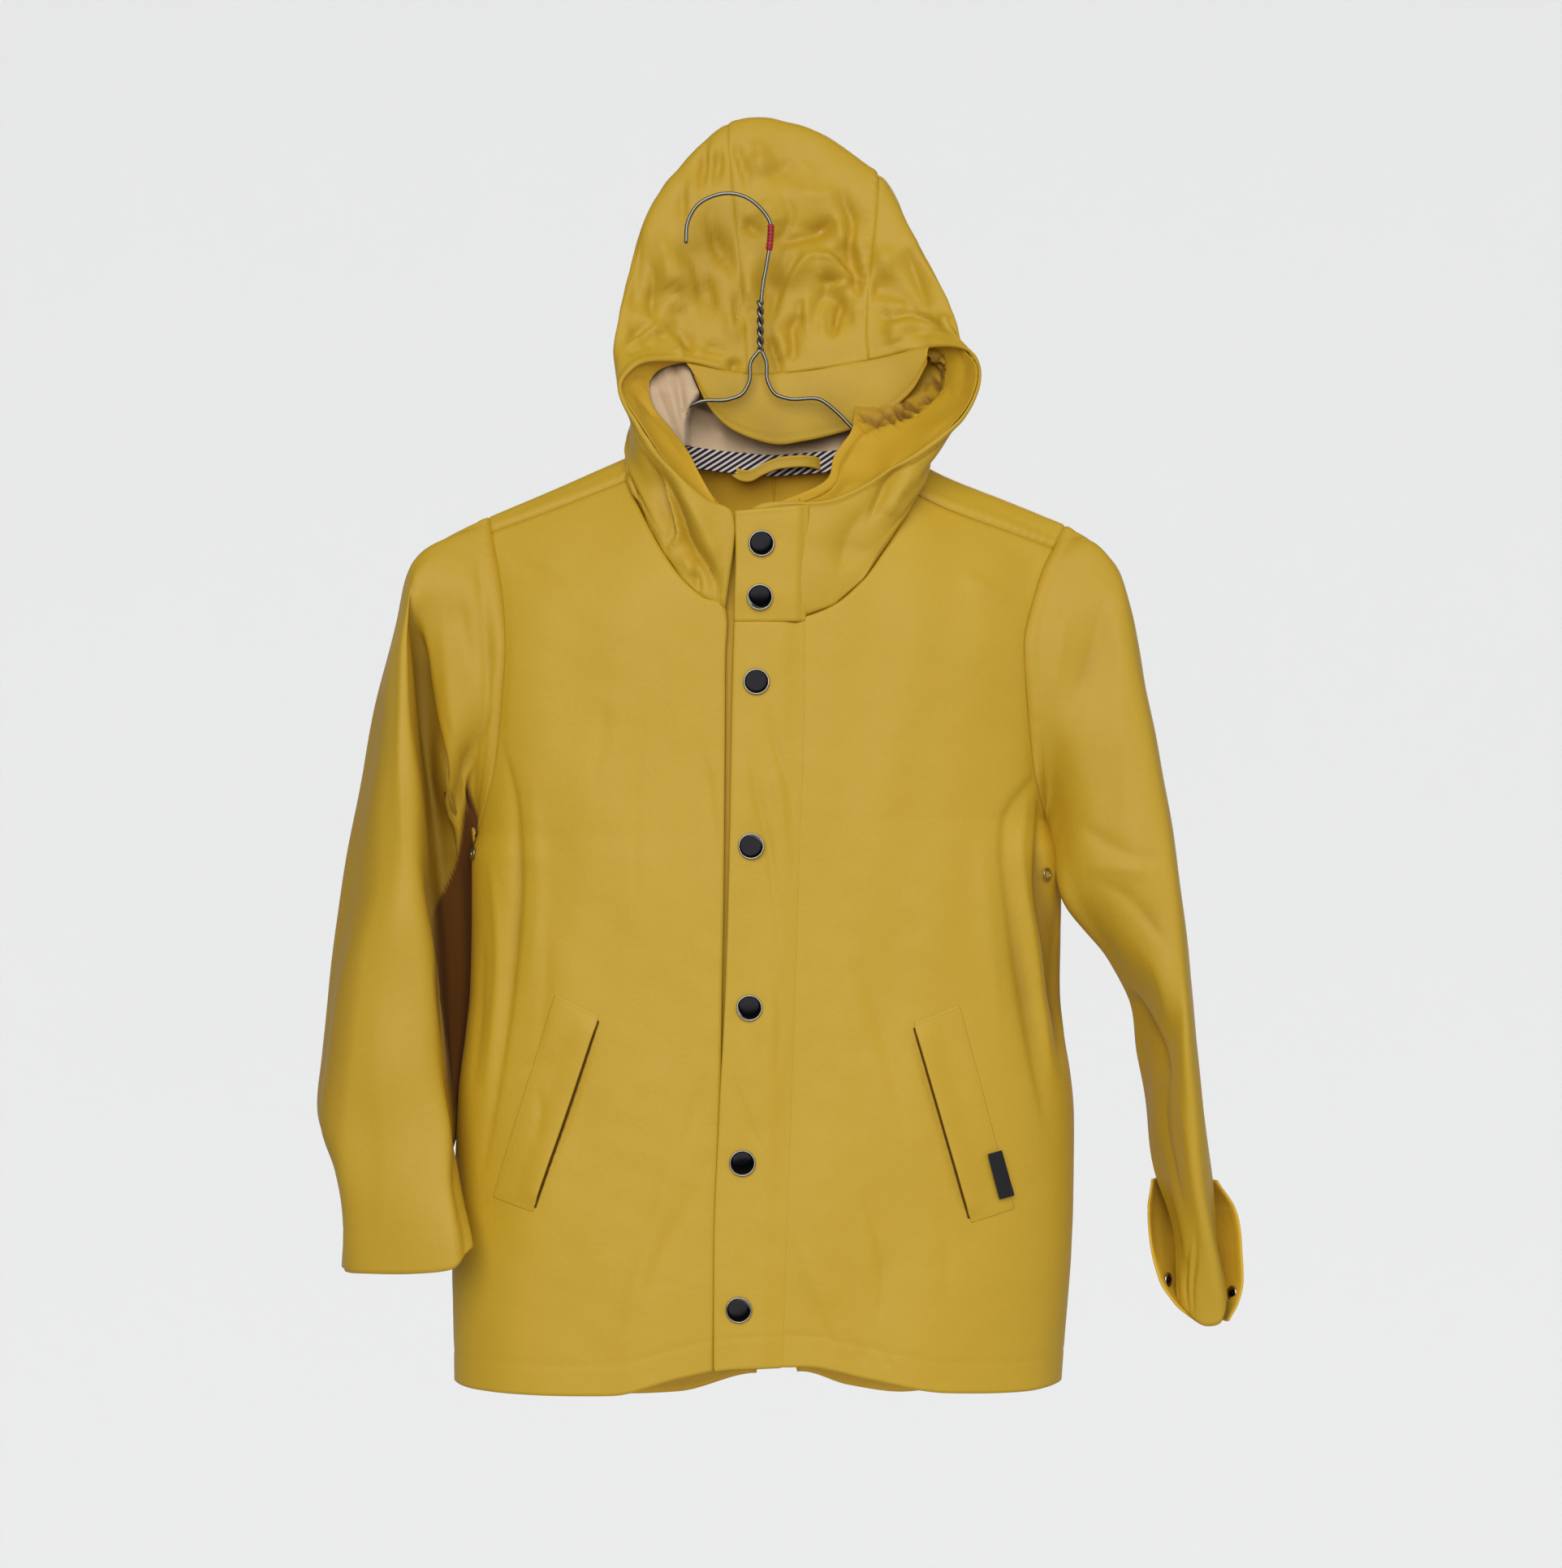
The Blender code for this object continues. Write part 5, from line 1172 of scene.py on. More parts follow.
def make_sleeves():
    for side in SIDES:
        points, normals = sleeve_panel(side, SLEEVE_SPACING)
        top, cuff, _, _ = edge_distances(points, closed=True)
        x, z = seen_from_front(points)
        front = smooth(-normals[..., 1], -0.15, 0.25)
        height = front * creases(x, z, SLEEVE_CREASES[side], 1, crisp=True)
        height = height + (1 - front) * creases(x, z, SLEEVE_BACK_CREASES[side], 2)
        height = height + noise(x * 1.6, z * 0.7 + points[..., 1], 70.0, 21) * 0.7 * smooth(top, 3, 30)
        height = height * smooth(cuff, -30 if side == "left" else -4, 18) * smooth(top, 0, 5) + seam(top, 1.0, 0.9)
        rungs = {"left": (6, 140), "right": (8, 34)}[side]
        height = height + front * (
            allowance(top, 7.0, 0.35) + stitch_groove(top, 7.2, 0.25, 0.9)
            + ladder(top, run_along(points[2])[None], *rungs, 7.0, 0.45)
        )
        if side == "right":
            height = height + stitch_groove(cuff, CUFF_TURN, 0.3, 1.3) + front * stitch_groove(top, 2.6, 0.35, 0.6)
            # Painted shade for the right sleeve's folded-in cloth, its deep gap and its outer side.
            deep = right_sleeve_painted_shade(x, z)
        else:
            # Painted shade on the left sleeve's underside.
            deep = 0.20 * fade(x - line_at(UNDER_LINE, z), -0.6, 1.0) * band(-z, 462, 474, 560, 620)
        outer = raised(points, normals, height)
        # A little painted shade over each whole sleeve, more in the troughs of its front, and the deeper painted shade
        # from just above.
        cloth_piece(
            "sleeve_" + side, outer, normals, thickness=CLOTH + fade(cuff, CUFF_TURN - 2, CUFF_TURN + 2),
            closed=True, round_edge=0.4,
            painted_shade=np.maximum(0.05 + 0.35 * front * smooth(-height, 1.5, 6.0), front * deep),
        )
        if side == "right":
            sew(outer, normals, cuff, CUFF_TURN, axis=0, closed=True)


def make_turn_up():
    turns = np.linspace(0, math.pi, 60)
    levels = np.linspace(TURN_UP["z"][0], TURN_UP["z"][-1], 40)[:, None]
    names = ("right_x", "right_y", "back_y", "left_x", "left_y")
    right_x, right_y, back_y, left_x, left_y = (lookup(TURN_UP, "z", name, levels) for name in names)
    across = 0.45 * (1 - np.cos(turns)) / 2 + 0.55 * turns / math.pi
    x = right_x + (left_x - right_x) * across
    ends = right_y + (left_y - right_y) * turns / math.pi
    y = ends + (back_y - ends) * np.sin(turns) ** 1.1
    grid = even(np.stack([x, y, np.broadcast_to(levels, x.shape)], axis=-1), 1.8)
    normals = grid_normals(grid)
    top, _, first, last = edge_distances(grid)
    height = noise(grid[..., 0] + grid[..., 1], grid[..., 2], 34.0, 31) * 0.5 + stitch_groove(top, 22.0)
    height = height + stitch_groove(first, TURN_UP_STITCH) + stitch_groove(last, TURN_UP_STITCH)
    outer = raised(grid, normals, height)
    # The wing nearer the body gets painted shade towards its top.
    cloth_piece(
        "cuff_turn_up_left", outer, normals, YELLOW_CUFF_PAINTED_LIT, thickness=1.4, round_edge=0.6,
        painted_shade=0.30 * smooth(grid[..., 2], -640, -590) * fade(grid[..., 0], 262, 285),
    )
    sew(outer, normals, first, TURN_UP_STITCH)
    sew(outer, normals, last, TURN_UP_STITCH)


# ---------------------------------------------------------------- hood

# Its folds as seen from the front, with the collar's, then its broad swells, then its back.
HOOD_CREASES = [
    (1.5, -2, 0, -13, 33, -14, 22, -15, 13, -15, 4), (1.7, -2, 0, -5, 30, -6.5, 17, -7.5, 5),
    (1.5, -1.7, 0.2, 3, 35, 5, 26, 8, 18, 10.5, 10, 11, 4), (1.8, 0.9, 0, -10, 32, -10.5, 18, -11.5, 6),
    (2.5, -0.8, 0, 14, 38, 14, 30, 15, 22), (4, 1.2, 0, 15, 36, 18, 24, 22, 10), (5, -1.6, 0, 22, 11, 32, 16, 40, 24),
    (2.2, -1.5, 0, -26, 8, -27, -6, -26, -18), (2.2, -2, 0, 9, -13, 14.5, -19, 22, -25),
    (1.8, -1.7, 0, 24, -26, 30, -24, 36, -16, 37, -9, 33, -1), (5, 1.4, 0, 18, -4, 26, -12, 28, -18),
    (3.2, -2.6, -0.2, 27, -28, 40, -25, 52, -21, 63, -13), (4, 1.2, 0, 30, -32, 42, -31, 54, -28),
    (2, -0.8, 0, -16, -6, -10, -9, -4, -13), (3.2, -2.8, 0.2, -13, -15, -7, -27, 0, -38, 6, -51),
    (2.6, -1.4, 0, -22, -27, -13, -38, -5, -48), (2.2, -2, 0, -30, -30, -21, -38, -17.5, -48, -17.5, -64),
    (7, 2, 0, -33, -33, -30, -44, -28, -56), (2.6, -2.3, 0, -47, -40, -44, -51, -45, -65, -43, -75),
    (1.9, -2.4, 0, -14, -43, -11, -55, -9.5, -63, -10.5, -69), (1.5, 1.6, 0, -11, -52, -6, -61, -1, -62, 4, -58),
    (1.8, -2.4, 0, 5.4, -58, 5.4, -70, 2, -77), (1.3, 1.5, 0, 3.3, -62, 2, -72, 0, -78),
    (1.8, -1.7, 0, -41, -60, -35, -56.5, -29, -58.5, -24, -64, -19, -69),
    (2, 1.2, 0, -38, -64.5, -32, -62, -26.5, -65.5, -21, -69),
    (1.5, -1, 0, -39, -68, -33.5, -66.5, -27, -68.5, -20, -71.5), (2.2, -2.6, 0, -61, -86, -50, -79, -43, -76),
    (2.6, 2, 0, -60, -90, -49, -82, -40, -78, -34, -81), (1.3, -1, 0, -49, -84.5, -42, -83, -35, -83),
    (2.2, -1, 0, -61, -93, -52, -89, -44, -87), (2.8, -2.4, 0, -37, -78, -29, -80, -24, -86, -20, -93),
    (2.5, 1.3, 0, -31, -84, -29, -91, -27.5, -97), (1.8, -1.3, 0, -18, -84, -13, -89, -5, -91.5, 1, -93),
    (1.8, -1.7, 0, 2.7, -95, 3.2, -101, 2, -109), (1.5, -2.3, 0.3, 24, -82, 26.5, -92, 29, -100, 31, -112),
    (2.4, -2.8, 0, 36.5, -72, 37.3, -81, 38.3, -89, 37, -98), (3.4, 1.3, 0, 31, -76, 32, -88, 34, -98),
    (1.8, -1.8, 0, 12.5, -58, 12, -66, 13, -76), (3.6, -3.2, -0.2, 43, -33, 37, -44, 31, -55, 27, -66, 25, -76),
    (3, 2.5, 0, 62, -37, 50, -36, 42, -42, 35, -52, 31.5, -61, 30, -68),
    (2.2, 1.8, 0, 53, -37, 62, -38, 67.5, -43.5, 73, -50), (1.8, -2, 0.2, 61, -31, 66.5, -37.5, 73, -44, 78, -48),
    (3.2, -3.2, 0, 67, 6, 69, -4, 72.5, -12, 73, -20, 71.5, -29, 73, -38, 77, -47),
    (3.2, 1.6, 0, 63, -10, 66, -20, 69, -32), (2.4, 1.2, 0, 76.5, -14, 77, -30, 80, -44),
    (2, -1.8, 0, 71, -46, 75, -51, 77.5, -60), (1.7, -1.9, 0, 52, -49.5, 60, -50.6, 69, -50),
    (2.6, -1.9, 0, 60, -52, 55, -61, 50.5, -71), (2, 0.9, 0, 61, -53, 66, -52.5, 71, -53),
    (2, -1.8, 0, 42.5, -60, 41.7, -71, 40.5, -79), (2.6, 1.1, 0, 46, -58, 46, -68, 45, -77),
    (2.2, -2.3, 0, 68, -59, 65.8, -68, 63, -77, 60.5, -85), (2.6, -2, 0, 83, -60, 88, -53.5, 96, -50.5, 102, -51),
    (4.5, -2.8, 0, 104, -30, 108.5, -40, 113, -53, 118, -66),
    (2, -2.4, 0, 86, -68, 96, -72, 105, -69, 115, -71, 126, -76.5), (2.4, 1, 0, 88, -61, 96, -62.5, 106, -66),
    (1.8, 1, 0, 118, -74, 126, -74, 132, -71), (3.6, -1.7, 0, 99, -90, 105, -83.5, 113, -81, 125, -80, 134, -83),
    (4, 1.3, 0, 90, -80, 100, -78, 112, -75.5),
    (5.5, 2.8, 0, -50, -144, -43, -154, -30, -172, -18, -192, -9, -212, -4, -231),
    (3.2, -4.4, 0, -41, -161, -33, -177, -28, -190, -25, -202, -18, -213, -10, -224, -6, -236),
    (1.5, 2.2, 0, -40, -164, -37.5, -178, -33, -191, -30.5, -201, -34, -208),
    (2.4, -2.5, 0, -44, -160, -40, -176, -36, -189, -33.5, -199, -37, -206),
    (5, -1.8, 0, -50, -148, -45, -165, -42, -180, -39, -192), (1.6, -1.7, 0, -19.5, -218, -18.5, -228, -17, -236),
    (3.5, 1, 0, -28, -210, -22, -220, -14, -229), (2.2, -2.4, 0, 105, -160, 96, -167, 90, -178, 84, -192),
    (4, 1.2, 0, 110, -163, 102, -174, 94, -190), (4, -1.5, 0, 80, -186, 72, -200, 66, -222),
]
HOOD_SWELLS = [
    (8, 3, 0, -40, -22, -37, -40, -35, -58), (7, -2.5, 0, -52, -20, -54, -45, -56, -70),
    (6, 2.4, 0, 34, -30, 33, -42, 30, -58), (5, -2.6, 0, 24, -34, 22, -50, 20, -72), (8, 2, 0, 36, 6, 50, 0, 64, 2),
    (9, -1.6, 0, 20, 30, 40, 26, 60, 16), (5, -2.4, 0, 38, -18, 54, -18, 66, -12),
    (6, 2.2, 0, 46, -44, 56, -42, 64, -46), (6, -2.8, 0, 56, -58, 64, -62, 70, -70),
    (5.5, -3, 0, 84, -60, 98, -58, 112, -66), (7, 2.2, 0, 90, -30, 94, -44, 92, -52),
    (5, 2, 0, 92, -86, 108, -84, 126, -86), (5, -2.2, 0, -12, -12, -8, -28, -4, -42),
    (5.5, -2.4, 0, -18, -44, -14, -60, -16, -76), (5, 1.8, 0, -4, -66, 2, -76, 4, -88),
    (5, 1.6, 0, 14, -40, 12, -56, 14, -74), (6, -2, 0, -34, -64, -28, -72, -18, -78),
    (6, 1.8, 0, -20, 10, -24, -4, -20, -20),
]
HOOD_BACK_CREASES = [
    (5, -2.2, 0.2, -30, 20, -25, -10, -28, -45), (4, -1.6, 0, 0, 30, 6, 0, 2, -40),
    (5, -2, 0, 40, 28, 36, -2, 44, -34), (4, -2.2, 0.2, 74, 8, 80, -20, 74, -52),
    (4, -1.8, 0, 104, -30, 98, -60, 106, -88), (5, -2.4, 0, -50, -60, -25, -72, 5, -66),
    (4, -2.2, 0, 10, -84, 40, -78, 70, -86), (4.5, -2.2, 0, 60, -60, 92, -68, 120, -62),
    (4, -2, 0, -46, -100, -20, -108, 4, -102), (4, -2.4, 0, 30, -112, 62, -104, 96, -112),
    (3, -1.8, 0, -30, -126, 0, -134, 34, -128), (5, 1.4, 0, -34, -64, -10, -60, 20, -62),
    (5, 1.5, 0, 20, -96, 50, -92, 84, -98),
]
ELASTIC = table("x z", (24, -80.5), (36, -78), (48, -76.5), (62, -75), (74, -71.5), (82, -70.5))


def hood_relief(points, normals):
    x, z = seen_from_front(points)
    front = smooth(-normals[..., 1], -0.2, 0.2)
    folds = creases(x, z, HOOD_CREASES, 4, HOOD_FOLD_WIDTH, True) + 0.6 * creases(x, z, HOOD_SWELLS, 9, crisp=True)
    behind = creases(x, z, HOOD_BACK_CREASES, 5, HOOD_FOLD_WIDTH)
    off = z - lookup(ELASTIC, "x", "z", x)
    puckers = 0.8 * np.sin(x * 0.95 + 1.4 * np.sin(x * 0.31)) * bell(off, 6.0) - 0.9 * bell(off, 1.1)
    height = (front * folds + (1 - front) * behind) * HOOD_FOLD_DEPTH + band(x, 22, 27, 79, 83) * front * puckers
    return height + noise(x, z + points[..., 1] * 0.8, 48.0, 41) * 0.6 + noise(x, z, 17.0, 42) * 0.16


def make_hood():
    for name, first, last in (("hood_side_right", 0, 8), ("hood_center", 8, 10), ("hood_side_left", 10, 18)):
        points, normals, _, _ = hood_panel(first, last, HOOD_SPACING)
        rim, nape, left, right = edge_distances(points)
        height = hood_relief(points, normals) * smooth(nape, 1, 10)
        if first > 0:
            height = height * smooth(left, 0, 4)
        if last < 18:
            height = height * smooth(right, 0, 4)
        height = height + seam(nape, 1.0, 1.0) + seam(left, 0.55, 0.9) + seam(right, 0.55, 0.9)
        welt = 0
        if name == "hood_center":
            run = run_along(points[:, 0])[:, None]
            height = height + allowance(left, 6.5, 0.35) + allowance(right, 6.5, 0.35)
            height = height + ladder(left, run, 55, 110) + ladder(right, run, 20, 160)
        else:
            welt = 0.9 * band(rim, -0.6, 1.4, 3.4, 5.2)
            height = height + stitch_groove(rim, RIM_STITCHES[0], 0.45, 0.8)
            height = height + stitch_groove(rim, RIM_STITCHES[1], 0.3, 0.9)
        outer = raised(points, normals, height + welt)
        outer = outer + NAPE_LAP * unit(points[-1] - points[-2])[None] * fade(nape, 0, 3)[..., None]
        x, z = seen_from_front(points)
        brow_painted_shade = np.exp(-((x + 8) / 40) ** 2 - ((z + 48) / 34) ** 2)
        # The hood gets a little painted shade all over, more over the inner brow, and more in its troughs.
        cloth_piece(
            name, outer, normals, thickness=CLOTH + 0.9 * fade(rim, 5, 7), round_edge=0.4,
            painted_shade=0.04 + 0.08 * brow_painted_shade + 0.05 * smooth(-height, 0.0, 8.0),
        )
        if name != "hood_center":
            for at in RIM_STITCHES:
                sew(outer, normals, rim, at, axis=0)


# Inner edges of the facings as seen from the front: share from the collar to the brim, x, z and depth y.
FACING_EDGE = {
    "right": table(
        "share x z y", (0.0, -4, -188, -42), (0.2, -17, -165, -30), (0.36, -24.5, -150, -20),
        (0.52, -33.5, -138.5, -13), (0.66, -43.5, -125, -7), (0.8, -47, -111, -1), (0.91, -41, -100, 7),
        (1.0, -27, -94, 13),
    ),
    "left": table(
        "share x z y", (0.0, 34, -185, -42), (0.16, 63, -171, -33), (0.28, 68, -156, -22), (0.38, 80, -141, -14),
        (0.49, 95, -134, -9), (0.6, 109, -128, -6), (0.7, 120, -121, -2), (0.8, 129, -109, 2), (0.9, 126, -97, 6),
        (1.0, 111, -87, 14),
    ),
}
FACING_SPAN = {"right": (1, 7.6), "left": (17, 10.4)}


def facing_grid(side):
    """The turned-in cloth of one side of the face opening, from the rim to its inner edge."""
    first, last = FACING_SPAN[side]
    points, normals, _, _ = hood_panel(min(first, last), max(first, last), 1.8, rows=(0.3, 0.5))
    rim = points[0] - normals[0] * 2.3
    if first > last:
        rim = rim[::-1]
    run = run_along(rim)
    seen = cubic(FACING_EDGE[side]["share"], stacked(FACING_EDGE[side], "x", "z", "y"), run / run[-1])
    edge = placed(seen[:, :2], seen[:, 2])
    bend = rim + (edge - rim) * 0.25 + np.array([0.0, 8.0, 0.0])
    return bezier(rim, bend, edge, np.linspace(0, 1, 24)[:, None, None])


def towards_viewer(grid):
    normals = grid_normals(grid)
    return normals if normals[..., 1].mean() < 0 else -normals


RIGHT_FACING_CREASES = [
    (1.3, 1.5, 0, -56, -112, -51, -114, -46, -118), (1.2, -1.4, 0, -57, -108, -50, -109, -46, -111),
    (2.2, -1.8, 0, -54, -118, -48, -124, -42, -132), (2, 1, 0, -60, -112, -57, -121, -50, -132),
    (3, 1, 0, -46, -132, -36, -144, -27, -156),
]


def gathers(length):
    """Uneven folds across a drawn-in casing: places are (distance along it, distance past its line)."""
    rng = np.random.default_rng(77)
    rows, at = [], 0.0
    while at < length:
        at += rng.uniform(3.2, 6.4)
        slant = rng.uniform(-6, 6)
        first = rng.uniform(-9, -2)
        last = rng.uniform(8, 24)
        middle = (at + slant * 0.4 + rng.uniform(-2, 2), (first + last) / 2)
        form = (rng.uniform(1.2, 2.3), -rng.uniform(1.6, 3.2), rng.uniform(-0.4, 0.4))
        rows.append((*form, at, first, *middle, at + slant, last))
        if rng.uniform() > 0.5:
            low = rng.uniform(4, 14)
            rows.append((1.4, -1.6, 0, at - 4, low, at, low + 2.5, at + 5, low + 1))
    return rows


def kept_inside(points, first, last, gap):
    """Points moved in where they lie closer than gap to the hood's outside between two stations."""
    hood, normals, _, _ = hood_panel(first, last, 3.0)
    hood = raised(hood, normals, np.minimum(hood_relief(hood, normals), 0)).reshape(-1, 3)
    normals = normals.reshape(-1, 3)
    tree = KDTree(len(hood))
    for index, point in enumerate(hood):
        tree.insert(point, index)
    tree.balance()
    flat = points.reshape(-1, 3)
    near = np.array([tree.find(point)[1] for point in flat])
    beyond = np.sum((flat - hood[near]) * normals[near], axis=1) + gap
    return (flat - normals[near] * np.maximum(beyond, 0)[:, None]).reshape(points.shape)


def make_right_facing():
    grid = even(facing_grid("right"), 1.6)
    normals = towards_viewer(grid)
    rim, inner, _, _ = edge_distances(grid)
    x, z = seen_from_front(grid)
    height = creases(x, z, RIGHT_FACING_CREASES, 7) + noise(x, z, 22.0, 71) * 0.35 + stitch_groove(inner, 1.5, 0.3)
    cloth_piece(
        "hood_facing_right", raised(grid, normals, height * smooth(rim, 0, 4)), normals, YELLOW_INSIDE, thickness=0.8
    )


def make_left_facing():
    """The left facing's upper part is a casing gathered on elastic, tucked in behind its edge."""
    facing = facing_grid("left")
    edge = facing[-1]
    gathered = smooth(np.linspace(0, 1, len(edge))[:, None], 0.34, 0.5)
    behind = edge + np.array([-1.0, 7.0, 0.0]) * (0.4 + 0.6 * gathered)
    tuck = edge + np.array([-17.0, 20.0, 15.0]) * (0.25 + 0.75 * gathered)
    turned_in = bezier(edge, behind, tuck, np.linspace(0, 1, 20)[1:, None, None])
    grid = np.concatenate([facing, turned_in])
    extra = np.stack([run_along(facing)[-1], gathered[:, 0]], axis=-1)
    grid = even(np.concatenate([grid, np.broadcast_to(extra, (*grid.shape[:2], 2))], axis=2), 1.35)
    grid, ends, gathered = grid[..., :3], grid[..., 3], grid[..., 4]
    normals = towards_viewer(grid)
    rim, _, _, _ = edge_distances(grid)
    run = np.broadcast_to(run_along(grid[len(grid) // 2])[None], rim.shape)
    past = rim - ends
    height = gathered * (1.5 * creases(run, past, gathers(run.max()), 6) - 1.1 * bell(past + 1.5, 0.9))
    height = height + noise(grid[..., 0], grid[..., 2], 30.0, 73) * 1.3 * smooth(rim, 2, 10) * fade(past, -4, 0)
    # The gathered casing gets painted shade, deeper in its troughs.
    cloth_piece(
        "hood_facing_left", kept_inside(raised(grid, normals, height), 9.5, 17, 2.4), normals, YELLOW_INSIDE,
        thickness=0.8, painted_shade=gathered * smooth(past, -3, 1) * (0.22 + 0.5 * smooth(-height, -1, 3.5)),
    )


def lining_base():
    """The hood's own surface from the facings' inner edges to the nape."""
    points, normals, station, row = hood_panel(2.3, 15.7, 2.0)
    columns = station[0]
    first = 2.0 + 5.0 * (1 - band(columns, 5.8, 7.6, 10.4, 12.2)) + 2.0 * smooth(columns, 11.0, 12.0)
    rows = first + (11.995 - first) * np.linspace(0, 1, 130)[:, None]
    both = np.concatenate([points, normals], axis=2)
    made = np.stack([
        [np.interp(rows[:, j], row[:, j], both[:, j, k]) for k in range(6)] for j in range(len(columns))
    ]).transpose(2, 0, 1)
    made = even(np.concatenate([made, rows[..., None]], axis=2), 2.5)
    return made[..., :3], unit(made[..., 3:6]), made[..., 6]


# The lining's folded edge on the wearer's right, as seen from the front.
LINING_EDGE = table(
    "z x", (-88, -27), (-100, -24), (-108, -21), (-114, -19), (-118.5, -17), (-124, -20), (-130, -23),
    (-136, -24.5), (-150, -25), (-165, -27),
)
LINING_CREASES = [
    (2, -4.5, 0, -34, -93, -30, -108, -28, -122, -26, -138), (2.6, 2, 0, -38, -96, -35, -112, -31, -130, -28, -146),
    (2.4, 1.6, 0, -27, -104, -24, -116, -24, -134), (2.2, -2.2, 0, -44, -104, -40, -122, -33, -140),
    (3, 2, 0, -12, -136, -4, -142, 10, -146), (2, -0.9, 0, 12, -144, 10, -150, 9, -156),
    (2.2, -0.9, 0, 44, -142, 46, -150, 45, -156),
]


def make_lining():
    """The lining hangs off the hood's inside; on the wearer's right it comes forward to a folded edge."""
    points, normals, row = lining_base()
    x, z = seen_from_front(points)
    back = smooth(normals[..., 1], -0.2, 0.3)
    off = np.minimum(hood_relief(points, normals), 0) - LINING_GAP + 0.9 * smooth(row, 11.3, 11.9)
    inner = raised(points, normals, off)
    side_x = line_at(LINING_EDGE, z)
    ahead = fade(x - side_x, -1.2, 1.4) * band(z, -172, -160, -96, -86) * (x < 0) * (row > 6.9)
    wanted = -4.4 + 21 * smooth(z, -119, -98) + 0.12 * (side_x - x)
    depth = inner[..., 1] * (1 - ahead) + np.minimum(wanted, inner[..., 1]) * ahead
    depth = depth - creases(x, z, LINING_CREASES, 8) - noise(x * 2.0, z * 0.8, 40.0, 74) * 0.9 * back
    inner = np.where((back > 0.02)[..., None], placed(np.stack(seen_from_front(inner), axis=-1), depth), inner)
    cloth_piece("hood_lining", inner, -grid_normals(inner), LINING, "lining_cream", thickness=0.6)


def make_brim():
    keys = BRIM["station"]
    stations = np.linspace(keys[0], keys[-1], 90)
    seam_line = hood_grid(stations, np.array([0.0]))[0] + np.array([0.0, 0.0, 0.6])
    shares = np.linspace(0, 1, 30)[:, None]
    grid = seam_line[None] + (cubic(keys, spots(BRIM, "edge"), stations) - seam_line)[None] * shares[..., None]
    grid[..., 1] -= np.sin(shares * math.pi) * 1.6
    grid = even(grid, 1.5)
    normals = towards_viewer(grid)
    top, low, _, _ = edge_distances(grid)
    height = noise(grid[..., 0], grid[..., 2], 50.0, 51) * 0.5 + stitch_groove(low, BRIM_STITCH, 0.35, 0.9)
    outer = raised(grid, normals, height + seam(top, 1.3, 1.6))
    # Painted shade, uneven, over the whole brim.
    painted_shade = 0.07 + 0.05 * noise(grid[..., 0], grid[..., 2], 36.0, 52)
    cloth_piece("hood_brim", outer, normals, thickness=1.6, round_edge=0.7, painted_shade=painted_shade)
    sew(outer, normals, low, BRIM_STITCH, axis=0)


# ---------------------------------------------------------------- the front closing

def on_front(grid, lift=0.0, creased=1.0):
    """Points of the front with its folds, moved out by lift, and their directions."""
    normals = body_normal(grid, False)
    return raised(grid, normals, lift + creased * body_relief(grid, False)), normals


def strip_on_front(rows, low_z, high_z, lift=0.0, spacing=1.6, creased=1.0):
    """Part of the front between two edges of a table."""
    levels = np.linspace(high_z, low_z, 160)[:, None]
    low, high = lookup(rows, "z", "from_x", levels), lookup(rows, "z", "to_x", levels)
    x = low + (high - low) * np.linspace(0, 1, 30)
    bend = smooth(-levels, 600, -low_z) * (low_z < -600)
    z = levels + (lookup(HEM_FRONT, "x", "z", x) - low_z) * bend
    return on_front(even(body_point(x, z, False), spacing), lift, creased)


def make_closing():
    grid, normals = strip_on_front(PLACKET, -682.0, -254.5)
    _, low, _, right = edge_distances(grid)
    lift = PLACKET_LIFT - 1.85 * smooth(-right, -14, -1)
    lift = lift + stitch_groove(right, PLACKET_STITCH, 0.3, 0.9) + stitch_groove(low, HEM_TURN, 0.3, 1.2)
    outer = raised(grid, normals, lift)
    cloth_piece("placket", outer, normals, thickness=1.5, round_edge=0.7)
    sew(outer, normals, right, PLACKET_STITCH)

    grid, normals = strip_on_front(COLLAR_FLAP, -253.5, -190.5, creased=0.0)
    x, z = grid[..., 0].copy(), grid[..., 2].copy()
    grid[..., 2] += 0.09 * (x - 5) * smooth(z, -253, -190)
    grid[..., 1] = -55.9 + 0.0016 * (x - 24) ** 2 + (z + 252.5) / 61.5 + 1.1 * fade(z, -254, -236)
    normals[:] = (0.0, -1.0, 0.0)
    top, _, left, right = edge_distances(grid)
    height = stitch_groove(np.minimum(np.minimum(top, left), right), COLLAR_STITCH, 0.3, 0.8)
    outer = raised(grid, normals, height - 2.6 * smooth(-right, -6, -0.5) + noise(x, z, 30.0, 61) * 0.25)
    cloth_piece("placket_collar", outer, normals, thickness=1.5, round_edge=0.7)
    sew(outer, normals, top, COLLAR_STITCH, axis=0)
    sew(outer, normals, left, COLLAR_STITCH)
    sew(outer, normals, right, COLLAR_STITCH)

    grid, normals = strip_on_front(UNDERLAP, -680.0, -197.0, -4.0, spacing=3.0)
    behind_collar = smooth(grid[..., 2], -262, -244)
    grid[..., 1] = grid[..., 1] * (1 - behind_collar) - 46.0 * behind_collar
    cloth_piece("front_underlap", grid, normals, YELLOW_INSIDE)


SNAP_FACE = ((0, 1.2), (6.65, 1.2), (6.65, 1.4), (6.35, 1.62), (5.7, 1.74), (4.4, 1.86), (2.4, 1.93), (0, 1.95))
SNAP_RIM = (
    (0, 0.0), (7.0, 0.0), (7.5, 0.3), (7.7, 0.8), (7.65, 1.3), (7.35, 1.75), (7.0, 1.85), (6.75, 1.7),
    (6.65, 1.35), (0, 1.3),
)


